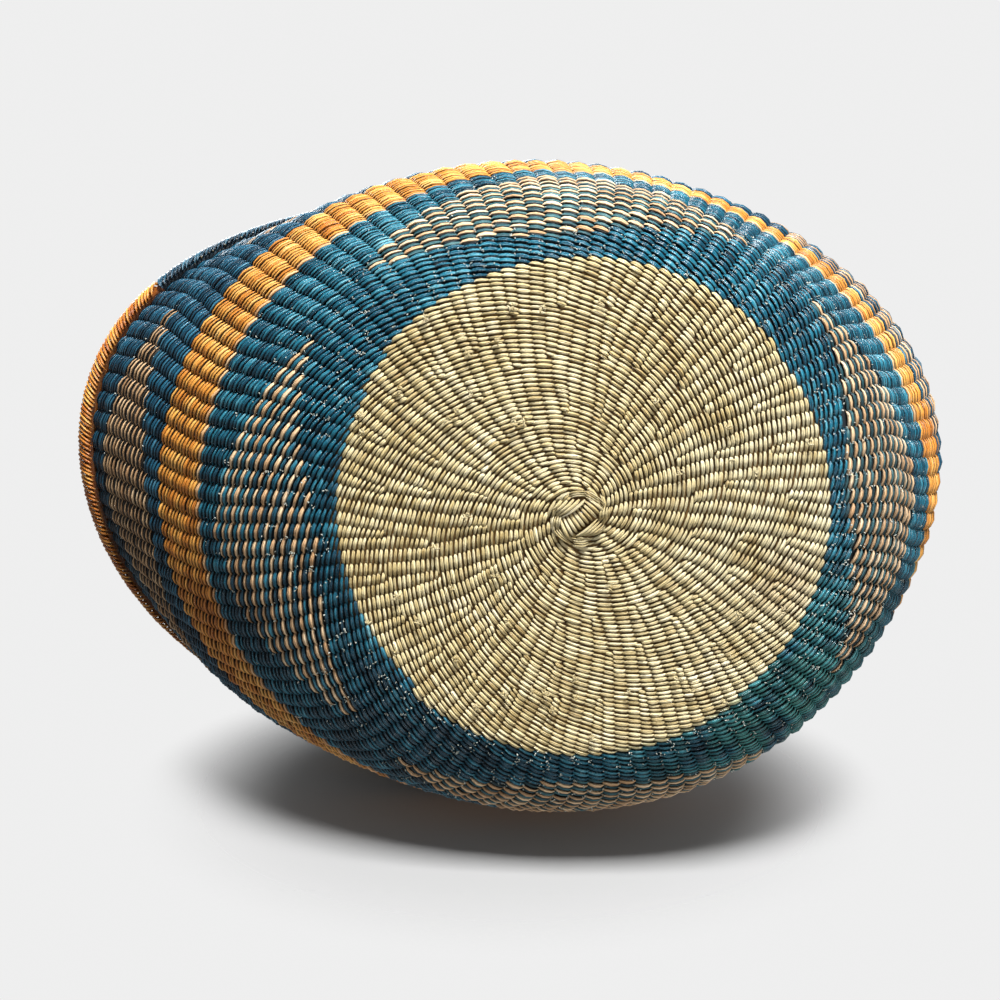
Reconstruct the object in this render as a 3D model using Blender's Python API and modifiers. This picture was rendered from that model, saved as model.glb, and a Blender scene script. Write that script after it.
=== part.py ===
"""A bolga market basket: a flat round base, a leaning wall of dyed grass bands with inlaid
diamonds, a bound rim, and an arched leather handle that swings in two holes of the wall.

Lengths are metres, +Z is up. The origin is the middle of the base, on the surface it stands on.
The front is +X and the right is +Y. Angles go round from the front towards the right, in degrees.
Heights on the body are counted in weaving rows: row 0 is the edge of the base and the last row is
the rim. The handle is modelled in a frame of its own, with X along its hinge line and Z up.
"""
import math

import bmesh
import bpy
import numpy as np
from mathutils import Matrix, Vector

# Body, over the outer face
BASE_RADIUS = 0.110
BELLY_HALF_LENGTH = 0.2035
BELLY_HALF_WIDTH = 0.1557
WALL_HEIGHT = 0.1445
WALL_THICKNESS = 0.006
KNOT_SIZE = 0.018
KNOT_CORNER = 0.004

# How far the hand-shaped mouth has moved, risen and bent from a plain upright oval
MOUTH_LEAN_LEFT = 0.061
MOUTH_LEAN_FRONT = 0.0049
RISE_RIGHT = 0.0168
RISE_FRONT = 0.0046
BOW_LEFT = 0.0116
PINCH_FRONT = 0.0083
SKEW = 0.0039

# Rim: a grass hoop inside a wrapped binding
RIM_RADIUS = 0.0045
RIM_WRAP_THICKNESS = 0.0018

# Handle arch: a grass core in a leather sleeve. The rise is from the hinge line to the middle
HANDLE_RISE = 0.190
HANDLE_RADIUS = 0.0105
LEATHER_THICKNESS = 0.0015

# Cord loops through the wall, and how far they stay from it and from the rim when they swing
LOOP_RADIUS = 0.004
HOLE_CLEARANCE = 0.0015
SWING_CLEARANCE = 0.0045
OUTER_CLEARANCE = 0.0015
EYE_HEIGHT = 0.032

# Collars that hold the loops to the arch, by heights above the hinge line, and their lashings
COLLAR_FOOT = 0.058
LOOP_TUCK = 0.014
SHOULDER_LENGTH = 0.008
SLEEVE_TUCK = 0.022
LASHING_RADIUS = 0.0011
LASHING_PITCH = 0.0029
LASHING_TURNS = 4

# Clearance between neighbouring pieces, and how far a cutter runs past what it cuts
GAP = 0.0003
OVERRUN = 0.004

# Rows of the weave
WALL_ROWS = 70
BASE_ROWS = 47
LOWER_ROWS = (0, 29)
ORANGE_ROWS = (29, 42)
UPPER_ROWS = (42, 70)
LOWER_DIAMOND_ROWS = (4, 25)
UPPER_DIAMOND_ROWS = (44, 64)
HANDLE_ROW = 66.5

# Angles round the body
TURN = 360
SIDES = ("right", "back", "left", "front")
DIAMOND_ANGLES = (85, 177.5, 264, 356)
DIAMOND_HALF_ANGLE = 37
HANDLE_ANGLE = 3
KNOT_ANGLE = 53

# Facets: steps over half a diamond, between two diamonds, and round the small parts
DIAMOND_STEPS = 5
BETWEEN_STEPS = 2
ORANGE_STEPS = 3
ARCH_STEPS = 24
LOOP_STEPS = 4
SECTION_SIDES = 24
HOLE_SIDES = 16
CORNER_STEPS = 3
LASHING_POINTS = 24
TUBE_BEVEL = 2
HANDLE_BEVEL = 3
LASHING_BEVEL = 1
SHARP_ANGLE = 35

# Steps for measuring a slope of the wall, and tries for finding the rim over a hole
NORMAL_ROWS = 2
NORMAL_ANGLE = 1
PLANE_TRIES = 5

# Form of the wall at six even stations from the base's edge to the rim
LENGTH_SHARES = (0, 0.371, 0.659, 0.9, 1, 1)
WIDTH_SHARES = (0, 0.648, 0.934, 1, 0.902, 0.652)
HEIGHT_SHARES = (0, 0.14, 0.35, 0.568, 0.791, 1)
LEAN_LEFT_SHARES = (0, 0.02, 0.152, 0.341, 0.638, 1)
LEAN_FRONT_SHARES = (0, -0.47, -0.92, 0.22, 0.65, 1)
RISE_RIGHT_SHARES = (0, 0.137, 0.429, 0.726, 0.994, 1)
RISE_FRONT_SHARES = (0, 0.565, 0.783, 0.978, 1, 0.891)
BOW_SHARES = (0, -0.05, 0.293, 0.862, 1, 0.871)
PINCH_SHARES = (0, -0.048, -0.157, 0.084, 0.916, 1)
SKEW_SHARES = (0, -0.05, 0.05, 0.9, 1, 0.64)
LOOP_SAG_SHARE = 0.25

# Colours of the plain and dyed grass, and of the leather
NATURAL = (0.58, 0.51, 0.28)
BLUE = (0.010, 0.085, 0.150)
DARK_BLUE = (0.006, 0.040, 0.070)
ORANGE = (0.68, 0.26, 0.06)
TAN = (0.62, 0.36, 0.14)
PALE_TAN = (0.52, 0.33, 0.15)
RUST = (0.50, 0.15, 0.03)
LEATHER = (0.16, 0.07, 0.03)
DARK_LEATHER = (0.07, 0.03, 0.015)


def smooth_curve(shares):
    """A natural cubic curve through values at even stations, as a function of 0 to 1."""
    values = np.array(shares, dtype=float)
    count = len(values)
    matrix = np.eye(count)
    bends = np.zeros(count)
    for index in range(1, count - 1):
        matrix[index, index - 1:index + 2] = (1, 4, 1)
        bends[index] = 6 * (values[index - 1] - 2 * values[index] + values[index + 1])
    bends = np.linalg.solve(matrix, bends)

    def curve(share):
        place = share * (count - 1)
        index = min(int(place), count - 2)
        ahead = place - index
        behind = 1 - ahead
        straight = values[index] * behind + values[index + 1] * ahead
        bent = (behind ** 3 - behind) * bends[index] + (ahead ** 3 - ahead) * bends[index + 1]
        return straight + bent / 6

    return curve


length_curve = smooth_curve(LENGTH_SHARES)
width_curve = smooth_curve(WIDTH_SHARES)
height_curve = smooth_curve(HEIGHT_SHARES)
lean_left_curve = smooth_curve(LEAN_LEFT_SHARES)
lean_front_curve = smooth_curve(LEAN_FRONT_SHARES)
rise_right_curve = smooth_curve(RISE_RIGHT_SHARES)
rise_front_curve = smooth_curve(RISE_FRONT_SHARES)
bow_curve = smooth_curve(BOW_SHARES)
pinch_curve = smooth_curve(PINCH_SHARES)
skew_curve = smooth_curve(SKEW_SHARES)


def outer_point(row, angle):
    """A point of the outer face. Rows below 0 lie on the flat base, down to its middle."""
    cosine = math.cos(math.radians(angle))
    sine = math.sin(math.radians(angle))
    if row <= 0:
        radius = BASE_RADIUS * (1 + row / BASE_ROWS)
        return Vector((radius * cosine, radius * sine, 0))
    share = row / WALL_ROWS
    twice = math.cos(math.radians(2 * angle))
    half_length = BASE_RADIUS + (BELLY_HALF_LENGTH - BASE_RADIUS) * length_curve(share)
    half_width = BASE_RADIUS + (BELLY_HALF_WIDTH - BASE_RADIUS) * width_curve(share)
    skew = SKEW * skew_curve(share)
    front = MOUTH_LEAN_FRONT * lean_front_curve(share) - PINCH_FRONT * pinch_curve(share) * twice
    left = MOUTH_LEAN_LEFT * lean_left_curve(share) + BOW_LEFT * bow_curve(share) * twice
    rise = RISE_RIGHT * rise_right_curve(share) * sine + RISE_FRONT * rise_front_curve(share) * cosine
    return Vector((front + half_width * cosine + skew * sine,
                   half_length * sine + skew * cosine - left,
                   WALL_HEIGHT * height_curve(share) + rise))


def row_direction(row, angle):
    """The direction of growing rows, evened out over a few rows."""
    above = outer_point(min(row + NORMAL_ROWS, WALL_ROWS), angle)
    below = outer_point(max(row - NORMAL_ROWS, -BASE_ROWS), angle)
    return above - below


def tangent(row, angle):
    """The direction of growing angles along a row."""
    return outer_point(row, angle + NORMAL_ANGLE) - outer_point(row, angle - NORMAL_ANGLE)


def outward(row, angle):
    """The unit normal of the outer face."""
    return tangent(row, angle).cross(row_direction(row, angle)).normalized()


def climb(row, angle):
    """The unit direction in the face that is square to the row and runs to the next one."""
    return outward(row, angle).cross(tangent(row, angle)).normalized()


def wall_point(row, angle, depth, slide=0):
    """A point at a depth below the outer face, slid a length square to its row."""
    if row <= -BASE_ROWS:
        return Vector((0, 0, depth))
    face = outer_point(row, angle) - outward(row, angle) * depth
    return face + climb(row, angle) * slide


def turned(angle):
    """An angle as -180 to 180 degrees."""
    half = TURN / 2
    return (angle + half) % TURN - half


def next_angles():
    """The angle of the diamond that follows each one."""
    return DIAMOND_ANGLES[1:] + (DIAMOND_ANGLES[0] + TURN,)


def columns():
    """Angles of the wall's columns: even steps over each diamond and between the diamonds."""
    found = []
    for middle, following in zip(DIAMOND_ANGLES, next_angles()):
        start = middle - DIAMOND_HALF_ANGLE
        end = middle + DIAMOND_HALF_ANGLE
        found.extend(np.linspace(start, end, 2 * DIAMOND_STEPS + 1)[:-1])
        found.extend(np.linspace(end, following - DIAMOND_HALF_ANGLE, BETWEEN_STEPS + 1)[:-1])
    return found


def column_pairs():
    """Each column's angle with the next one's, all the way round."""
    angles = [round(float(angle % TURN), 6) for angle in columns()]
    return list(zip(angles, angles[1:] + angles[:1]))


def triangles(rows, diamond_row):
    """Triangles of (row, angle) corners, with diagonals along the edges of the diamonds."""
    faces = []
    for low, high in zip(rows, rows[1:]):
        above = (low + high) / 2 > diamond_row
        for start, end in column_pairs():
            middle = start + turned(end - start) / 2
            past = turned(middle - min(DIAMOND_ANGLES, key=lambda angle: abs(turned(middle - angle)))) > 0
            a, b, c, d = (low, start), (low, end), (high, end), (high, start)
            faces.extend([(a, b, d), (b, c, d)] if above == past else [(a, b, c), (a, c, d)])
    return faces


def in_diamond(face, diamond_rows, angle):
    """Whether a triangle's middle lies in the diamond at an angle."""
    low, high = diamond_rows
    rows = sum(row for row, _ in face) / 3 - (low + high) / 2
    degrees = sum(turned(corner - angle) for _, corner in face) / 3
    return abs(rows) / ((high - low) / 2) + abs(degrees) / DIAMOND_HALF_ANGLE < 1


def material(name, color, roughness):
    """A plain Principled material."""
    made = bpy.data.materials.get(name) or bpy.data.materials.new(name)
    made.use_nodes = True
    shader = made.node_tree.nodes["Principled BSDF"]
    shader.inputs["Base Color"].default_value = (*color, 1)
    shader.inputs["Roughness"].default_value = roughness
    shader.inputs["Metallic"].default_value = 0
    return made


def grass(name, color):
    """Dry grass, dyed or plain."""
    return material(name + " grass", color, 0.6)


def leather(name, color):
    """Worn goat leather."""
    return material(name + " leather", color, 0.5)


def add_object(name, data, group):
    """A named object in a collection."""
    made = bpy.data.objects.new(name, data)
    group.objects.link(made)
    return made


def mesh_object(name, builder, group, surface=None):
    """An object from a bmesh, with its faces turned out and its round parts smooth."""
    bmesh.ops.recalc_face_normals(builder, faces=builder.faces[:])
    mesh = bpy.data.meshes.new(name)
    builder.to_mesh(mesh)
    builder.free()
    mesh.shade_smooth()
    mesh.set_sharp_from_angle(angle=math.radians(SHARP_ANGLE))
    if surface:
        mesh.materials.append(surface)
    return add_object(name, mesh, group)


def cut(target, cutter):
    """Cuts one object by another, which stays as a hidden wire guide."""
    cutter.hide_render = True
    cutter.display_type = "WIRE"
    step = target.modifiers.new("cut " + cutter.name, "BOOLEAN")
    step.operation = "DIFFERENCE"
    step.solver = "EXACT"
    step.object = cutter


def tube(name, points, radius, group, surface, bevel=TUBE_BEVEL, closed=False, caps=True):
    """A round tube along points, as a curve."""
    curve = bpy.data.curves.new(name, "CURVE")
    curve.dimensions = "3D"
    curve.bevel_depth = radius
    curve.bevel_resolution = bevel
    curve.use_fill_caps = caps
    spline = curve.splines.new("POLY")
    spline.points.add(len(points) - 1)
    for target, point in zip(spline.points, points):
        target.co = (*point, 1)
    spline.use_cyclic_u = closed
    curve.materials.append(surface)
    return add_object(name, curve, group)


def pipe(name, points, radius, thickness, group, surface, bevel=TUBE_BEVEL):
    """A pipe along points, open at both ends: a tube's skin, thickened inwards."""
    skin = tube(name + " skin", points, radius, group, surface, bevel, caps=False)
    bpy.context.view_layer.update()
    evaluated = skin.evaluated_get(bpy.context.evaluated_depsgraph_get())
    mesh = bpy.data.meshes.new_from_object(evaluated)
    mesh.name = name
    bpy.data.objects.remove(skin)
    made = add_object(name, mesh, group)
    wall = made.modifiers.new("wall", "SOLIDIFY")
    wall.thickness = thickness
    wall.offset = -1
    wall.use_even_offset = True
    return made


def pipe_bore(radius, thickness, bevel):
    """The radius of the round bar that fits in a faceted pipe with the gap."""
    sides = 4 + 2 * bevel
    return radius * math.cos(math.pi / sides) - thickness - GAP


def shell(name, faces, place, group, surface):
    """A closed wall piece from triangles of flat corners: outer face, inner face and edges."""
    builder = bmesh.new()
    corners = sorted({corner for face in faces for corner in face})
    outer = {corner: builder.verts.new(place(corner, 0)) for corner in corners}
    inner = {corner: builder.verts.new(place(corner, WALL_THICKNESS)) for corner in corners}
    edges = {(face[index - 1], face[index]) for face in faces for index in range(3)}
    for face in faces:
        builder.faces.new([outer[corner] for corner in face])
        builder.faces.new([inner[corner] for corner in reversed(face)])
    for start, end in edges:
        if (end, start) not in edges:
            near, far = sorted((start, end))
            builder.faces.new([outer[near], outer[far], inner[far]])
            builder.faces.new([outer[near], inner[far], inner[near]])
    return mesh_object(name, builder, group, surface)


def band_place(rows):
    """Places a band's corners, its two edges drawn in by half the gap."""
    slides = {rows[0]: GAP / 2, rows[1]: -GAP / 2}

    def place(corner, depth):
        row, angle = corner
        return wall_point(row, angle, depth, slides.get(row, 0))

    return place


def diamond_place(diamond_rows, angle):
    """Places a diamond's corners, drawn in to its middle by the gap at its edges."""
    low, high = diamond_rows
    middle = (low + high) / 2
    half_height = (outer_point(high, angle) - outer_point(low, angle)).length / 2
    half_width = (outer_point(middle, angle + DIAMOND_HALF_ANGLE)
                  - outer_point(middle, angle - DIAMOND_HALF_ANGLE)).length / 2
    kept = 1 - GAP * math.hypot(half_height, half_width) / (half_height * half_width)

    def place(corner, depth):
        row = middle + (corner[0] - middle) * kept
        return wall_point(row, angle + turned(corner[1] - angle) * kept, depth)

    return place


def diamond_band(name, rows, diamond_rows, group, surface, diamond_surface):
    """A band of the wall with four windows, and the diamond woven into each."""
    low, high = diamond_rows
    lines = [rows[0], *np.linspace(low, high, 2 * DIAMOND_STEPS + 1), rows[1]]
    faces = triangles(lines, (low + high) / 2)
    plain = [face for face in faces
             if not any(in_diamond(face, diamond_rows, angle) for angle in DIAMOND_ANGLES)]
    band = shell(f"{name}_blue_weave", plain, band_place(rows), group, surface)
    for side, angle in zip(SIDES, DIAMOND_ANGLES):
        inside = [face for face in faces if in_diamond(face, diamond_rows, angle)]
        place = diamond_place(diamond_rows, angle)
        shell(f"{name}_diamond_{side}", inside, place, group, diamond_surface)
    return band


def orange_band(group):
    """The plain orange band round the belly."""
    faces = triangles(list(np.linspace(*ORANGE_ROWS, ORANGE_STEPS + 1)), WALL_ROWS)
    shell("orange_band", faces, band_place(ORANGE_ROWS), group, grass("orange", ORANGE))


def knot_block(name, size, height, group, surface=None):
    """A square block with round upright corners, in the thickness of the base."""
    builder = bmesh.new()
    bmesh.ops.create_cube(builder, size=1)
    bmesh.ops.scale(builder, vec=(size, size, height), verts=builder.verts[:])
    bmesh.ops.translate(builder, vec=(0, 0, WALL_THICKNESS / 2), verts=builder.verts[:])
    upright = [edge for edge in builder.edges
               if edge.verts[0].co.xy == edge.verts[1].co.xy]
    bmesh.ops.bevel(builder, geom=upright, offset=KNOT_CORNER, offset_type="OFFSET",
                    segments=CORNER_STEPS, profile=0.5, affect="EDGES")
    block = mesh_object(name, builder, group, surface)
    block.rotation_euler.z = math.radians(KNOT_ANGLE)
    return block


def base(group, cutters):
    """The flat base, and the knot of crossed strands that it starts from."""
    natural = grass("natural", NATURAL)
    middle = (-BASE_ROWS, 0)
    faces = triangles([-NORMAL_ROWS, 0], WALL_ROWS)
    faces.extend((middle, (-NORMAL_ROWS, end), (-NORMAL_ROWS, start)) for start, end in column_pairs())
    weave = shell("base_weave", faces, band_place((-BASE_ROWS, 0)), group, natural)
    knot_block("centre_knot", KNOT_SIZE, WALL_THICKNESS, group, natural)
    cut(weave, knot_block("knot_cutter", KNOT_SIZE + 2 * GAP, WALL_THICKNESS + 2 * OVERRUN, cutters))


def rim_point(angle, slide=0):
    """A point of the rim's middle line over the top row, or slid along the rim from there."""
    on_edge = wall_point(WALL_ROWS, angle, WALL_THICKNESS / 2, RIM_RADIUS + GAP)
    return on_edge + tangent(WALL_ROWS, angle).normalized() * slide


def rim(group):
    """The grass hoop, and the four lengths of binding, rust and blue in turn, wrapped over it.

    The colours change midway between the diamonds, where the line runs straight for a short way.
    """
    rust = grass("rust", RUST)
    blue = grass("dark blue", DARK_BLUE)
    ends = [(angle + following) / 2 for angle, following in zip(DIAMOND_ANGLES, next_angles())]
    starts = [ends[-1] - TURN, *ends[:-1]]
    angles = [angle - TURN for angle in columns()] + columns()
    hoop = []
    for side, start, end, color in zip(SIDES, starts, ends, (rust, blue, rust, blue)):
        between = [rim_point(angle) for angle in angles
                   if start + NORMAL_ANGLE < angle < end - NORMAL_ANGLE]
        line = [rim_point(start, RIM_RADIUS), *between, rim_point(end, -RIM_RADIUS)]
        hoop.extend(line)
        wrapped = [rim_point(start, GAP / 2), *line, rim_point(end, -GAP / 2)]
        pipe(f"rim_binding_{side}", wrapped, RIM_RADIUS, RIM_WRAP_THICKNESS, group, color)
    core_radius = pipe_bore(RIM_RADIUS, RIM_WRAP_THICKNESS, TUBE_BEVEL)
    tube("rim_core", hoop, core_radius, group, grass("natural", NATURAL), closed=True)


def hinge_frame():
    """The handle's frame, midway between its two holes, and half the distance between them."""
    front = wall_point(HANDLE_ROW, HANDLE_ANGLE, WALL_THICKNESS / 2)
    back = wall_point(HANDLE_ROW, HANDLE_ANGLE + TURN / 2, WALL_THICKNESS / 2)
    axis = (front - back).normalized()
    up = (Vector((0, 0, 1)) - axis * axis.z).normalized()
    frame = Matrix((axis, up.cross(axis), up)).transposed().to_4x4()
    frame.translation = (front + back) / 2
    return frame, (front - back).length / 2


def rim_over_hole(to_hinge, angle):
    """Where the rim's middle line crosses the handle's plane, in the handle's frame."""
    for _ in range(PLANE_TRIES):
        here = to_hinge @ rim_point(angle)
        after = to_hinge @ rim_point(angle + NORMAL_ANGLE)
        angle -= NORMAL_ANGLE * here.y / (after.y - here.y)
    return to_hinge @ rim_point(angle)


def smooth_route(points, steps):
    """Points along a smooth curve through the given ones, with slopes weighted by their spacing."""
    spans = [after - before for before, after in zip(points, points[1:])]
    lengths = [span.length for span in spans]
    lines = [span.normalized() for span in spans]
    slopes = [lines[0]]
    for index in range(1, len(spans)):
        weight = lengths[index - 1] / (lengths[index - 1] + lengths[index])
        slopes.append(lines[index - 1].lerp(lines[index], weight))
    slopes.append(lines[-1])
    route = []
    for index, length in enumerate(lengths):
        for share in np.arange(steps) / steps:
            rest = 1 - share
            route.append(points[index] * (1 + 2 * share) * rest * rest
                         + slopes[index] * length * share * rest * rest
                         + points[index + 1] * (3 - 2 * share) * share * share
                         - slopes[index + 1] * length * share * share * rest)
    route.append(points[-1])
    return route


def loop_route(side, half_span, leg_at, rim_at):
    """A cord loop's route: from the collar, down outside the rim, in through the wall's hole,
    and up again inside the rim."""
    apart = LOOP_RADIUS + GAP
    outside = rim_at.x + RIM_RADIUS + OUTER_CLEARANCE + LOOP_RADIUS
    inside = rim_at.x - RIM_RADIUS - SWING_CLEARANCE - LOOP_RADIUS
    beside_wall = half_span + WALL_THICKNESS / 2 + OUTER_CLEARANCE + LOOP_RADIUS
    rim_top = rim_at.z + RIM_RADIUS
    low = 2 * LOOP_RADIUS
    sag = LOOP_RADIUS * LOOP_SAG_SHARE
    tuck = COLLAR_FOOT + LOOP_TUCK
    corners = [
        (leg_at + apart, tuck), (leg_at + apart, COLLAR_FOOT), (outside, EYE_HEIGHT),
        (outside, rim_top), (beside_wall, low), (half_span + LOOP_RADIUS, sag),
        (half_span - low, sag), (inside, low), (inside, rim_top), (inside, EYE_HEIGHT),
        (leg_at - apart, COLLAR_FOOT), (leg_at - apart, tuck)]
    return smooth_route([Vector((side * x, 0, z)) for x, z in corners], LOOP_STEPS)


def collar_section(center, height, apart, radius):
    """A closed line round a collar: a circle whose two halves stand apart by flats."""
    points = []
    for index in range(SECTION_SIDES):
        angle = 2 * math.pi * (index + 0.5) / SECTION_SIDES
        flat = math.copysign(apart, math.cos(angle))
        points.append(Vector((center + flat + radius * math.cos(angle), radius * math.sin(angle), height)))
    return points


def collar(name, center, group, surface):
    """A leather collar: flat round the loop's two legs, widening to round over the sleeve."""
    apart = LOOP_RADIUS + GAP
    leg_bore = LOOP_RADIUS + GAP
    sleeve_bore = HANDLE_RADIUS + GAP
    shoulder = COLLAR_FOOT + LOOP_TUCK
    stations = [(COLLAR_FOOT, apart, leg_bore), (shoulder - SHOULDER_LENGTH, apart, leg_bore),
                (shoulder, 0, sleeve_bore), (shoulder + SLEEVE_TUCK, 0, sleeve_bore)]
    outer = [collar_section(center, height, flat, radius + LEATHER_THICKNESS)
             for height, flat, radius in stations]
    inner = [collar_section(center, *station) for station in reversed(stations)]
    builder = bmesh.new()
    loops = [[builder.verts.new(point) for point in line] for line in outer + inner]
    for loop, following in zip(loops, loops[1:] + loops[:1]):
        for index in range(SECTION_SIDES):
            builder.faces.new([loop[index - 1], loop[index], following[index], following[index - 1]])
    return mesh_object(name, builder, group, surface)


def lashing_route(center):
    """A helix round the collar's round part, with a short straight run at each end."""
    radius = HANDLE_RADIUS + LEATHER_THICKNESS + 2 * GAP + LASHING_RADIUS
    height = LASHING_PITCH * LASHING_TURNS
    foot = COLLAR_FOOT + LOOP_TUCK + (SLEEVE_TUCK - height) / 2
    points = []
    for index in range(LASHING_TURNS * LASHING_POINTS + 1):
        turns = index / LASHING_POINTS
        angle = 2 * math.pi * turns
        points.append(Vector((center + radius * math.cos(angle), radius * math.sin(angle),
                              foot + LASHING_PITCH * turns)))
    first = points[0] + (points[0] - points[1]).normalized() * 2 * LASHING_RADIUS
    last = points[-1] + (points[-1] - points[-2]).normalized() * 2 * LASHING_RADIUS
    return [first, *points, last]


def least_gap(points):
    """The least free distance between turns of a lashing."""
    places = np.array([tuple(point) for point in points])
    distances = np.linalg.norm(places[:, None] - places[None], axis=2)
    order = np.arange(len(places))
    other_turns = np.abs(order[:, None] - order[None]) > LASHING_POINTS / 2
    return distances[other_turns].min() - 2 * LASHING_RADIUS


def arch_route(leg_at):
    """The handle's middle line: upright legs in the collars, and half an oval over them."""
    foot = COLLAR_FOOT + LOOP_TUCK + GAP
    spring = COLLAR_FOOT + LOOP_TUCK + SLEEVE_TUCK
    points = [Vector((-leg_at, 0, foot))]
    for index in range(ARCH_STEPS + 1):
        angle = math.pi * index / ARCH_STEPS
        points.append(Vector((-leg_at * math.cos(angle), 0,
                              spring + (HANDLE_RISE - spring) * math.sin(angle))))
    points.append(Vector((leg_at, 0, foot)))
    return points


def hole_cutter(name, center, frame, cutters):
    """A round cutter along the hinge line, for a hole in the wall."""
    builder = bmesh.new()
    radius = LOOP_RADIUS + HOLE_CLEARANCE
    bmesh.ops.create_cone(builder, cap_ends=True, segments=HOLE_SIDES, radius1=radius,
                          radius2=radius, depth=2 * (WALL_THICKNESS + OVERRUN))
    cutter = mesh_object(name, builder, cutters)
    along_hinge = Matrix.Rotation(math.pi / 2, 4, "Y")
    cutter.matrix_world = frame @ Matrix.Translation((center, 0, 0)) @ along_hinge
    return cutter


def handle(group, cutters, wall):
    """The swinging handle on its hinge line, and the two holes in the wall that it swings in."""
    frame, half_span = hinge_frame()
    hinge = add_object("handle_hinge", None, group)
    hinge.matrix_world = frame
    to_hinge = frame.inverted()
    rims = {1: rim_over_hole(to_hinge, HANDLE_ANGLE),
            -1: rim_over_hole(to_hinge, HANDLE_ANGLE + TURN / 2)}
    leg_at = (rims[1].x - rims[-1].x) / 2
    brown = leather("brown", LEATHER)
    dark = leather("dark", DARK_LEATHER)
    arch = arch_route(leg_at)
    core_radius = pipe_bore(HANDLE_RADIUS, LEATHER_THICKNESS, HANDLE_BEVEL)
    pieces = [tube("handle_core", arch, core_radius, group, grass("natural", NATURAL), HANDLE_BEVEL),
              pipe("handle_leather", arch, HANDLE_RADIUS, LEATHER_THICKNESS, group, brown, HANDLE_BEVEL)]
    for side, name in ((1, "front"), (-1, "back")):
        rim_at = Vector((side * rims[side].x, 0, rims[side].z))
        route = loop_route(side, half_span, leg_at, rim_at)
        pieces.append(tube(f"handle_loop_{name}", route, LOOP_RADIUS, group, dark))
        pieces.append(collar(f"collar_{name}", side * leg_at, group, brown))
        route = lashing_route(side * leg_at)
        pieces.append(tube(f"lashing_{name}", route, LASHING_RADIUS, group, dark, LASHING_BEVEL))
        print(f"lashing_{name}: least gap between turns {1000 * least_gap(route):.2f} mm")
        cut(wall, hole_cutter(f"hole_cutter_{name}", side * half_span, frame, cutters))
    for piece in pieces:
        piece.parent = hinge


def build():
    """Clears the scene and models the basket."""
    for old in list(bpy.data.objects):
        bpy.data.objects.remove(old)
    group = bpy.data.collections.new("bolga market basket")
    cutters = bpy.data.collections.new("cutters")
    bpy.context.scene.collection.children.link(group)
    bpy.context.scene.collection.children.link(cutters)
    base(group, cutters)
    diamond_band("lower", LOWER_ROWS, LOWER_DIAMOND_ROWS, group, grass("blue", BLUE), grass("tan", TAN))
    orange_band(group)
    wall = diamond_band("upper", UPPER_ROWS, UPPER_DIAMOND_ROWS, group,
                        grass("dark blue", DARK_BLUE), grass("pale tan", PALE_TAN))
    rim(group)
    handle(group, cutters, wall)


build()
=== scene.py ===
"""The looks of a bolga market basket: every strand of its twined grass wall, the bound rim, the
knot of the base and the leather handle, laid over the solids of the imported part.

Lengths are metres, +Z is up, the front is +X and the right is +Y. The basket is looked at from
below its base, as it lies on its back side in the photograph."""
import math
import bpy
import numpy as np
from mathutils import Matrix, Vector


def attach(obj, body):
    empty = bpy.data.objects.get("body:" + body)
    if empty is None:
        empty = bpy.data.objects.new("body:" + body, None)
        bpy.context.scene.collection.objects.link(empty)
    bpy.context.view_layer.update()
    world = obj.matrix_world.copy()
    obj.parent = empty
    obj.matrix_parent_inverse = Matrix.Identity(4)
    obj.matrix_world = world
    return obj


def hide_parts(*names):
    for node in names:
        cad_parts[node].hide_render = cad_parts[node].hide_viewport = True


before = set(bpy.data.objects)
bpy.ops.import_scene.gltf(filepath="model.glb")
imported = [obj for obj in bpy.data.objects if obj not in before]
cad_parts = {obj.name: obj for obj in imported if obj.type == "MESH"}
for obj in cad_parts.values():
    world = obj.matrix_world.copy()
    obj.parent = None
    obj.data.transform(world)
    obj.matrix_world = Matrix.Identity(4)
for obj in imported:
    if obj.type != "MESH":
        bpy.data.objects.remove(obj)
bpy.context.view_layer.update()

scene = bpy.context.scene


# The camera looks up at the base, from a little in front of it, with the front of the basket at
# the top of the picture and its right at the right.
view_right = Vector((-0.00358, 0.99981, 0.0194))
view_up = Vector((0.98337, 0, 0.18162))
view_ahead = Vector((-0.18159, -0.01973, 0.98318))
camera_place = Vector((0.1198, -0.0231, -0.6130))
camera = bpy.data.objects.new("camera", bpy.data.cameras.new("camera"))
camera.data.lens = 51.12
camera.data.sensor_width = 36
camera.data.clip_start = 0.01
camera.matrix_world = Matrix.Translation(camera_place) @ Matrix(
    (view_right, view_up, -view_ahead)).transposed().to_4x4()
scene.collection.objects.link(camera)
scene.camera = camera


# The form of the body: a flat round base and a wall that swells, leans and closes in towards the
# mouth. Places on it are counted in weaving rows, from the edge of the base up to the rim, and in
# degrees from the front towards the right. Rows below 0 lie on the base, down to its middle.
BASE_RADIUS = 0.110
BELLY_HALF_LENGTH = 0.2035
BELLY_HALF_WIDTH = 0.1557
WALL_HEIGHT = 0.1445
WALL_THICKNESS = 0.006
MOUTH_LEAN_LEFT = 0.061
MOUTH_LEAN_FRONT = 0.0049
RISE_RIGHT = 0.0168
RISE_FRONT = 0.0046
BOW_LEFT = 0.0116
PINCH_FRONT = 0.0083
SKEW = 0.0039
WALL_ROWS = 70
BASE_ROWS = 53


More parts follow.
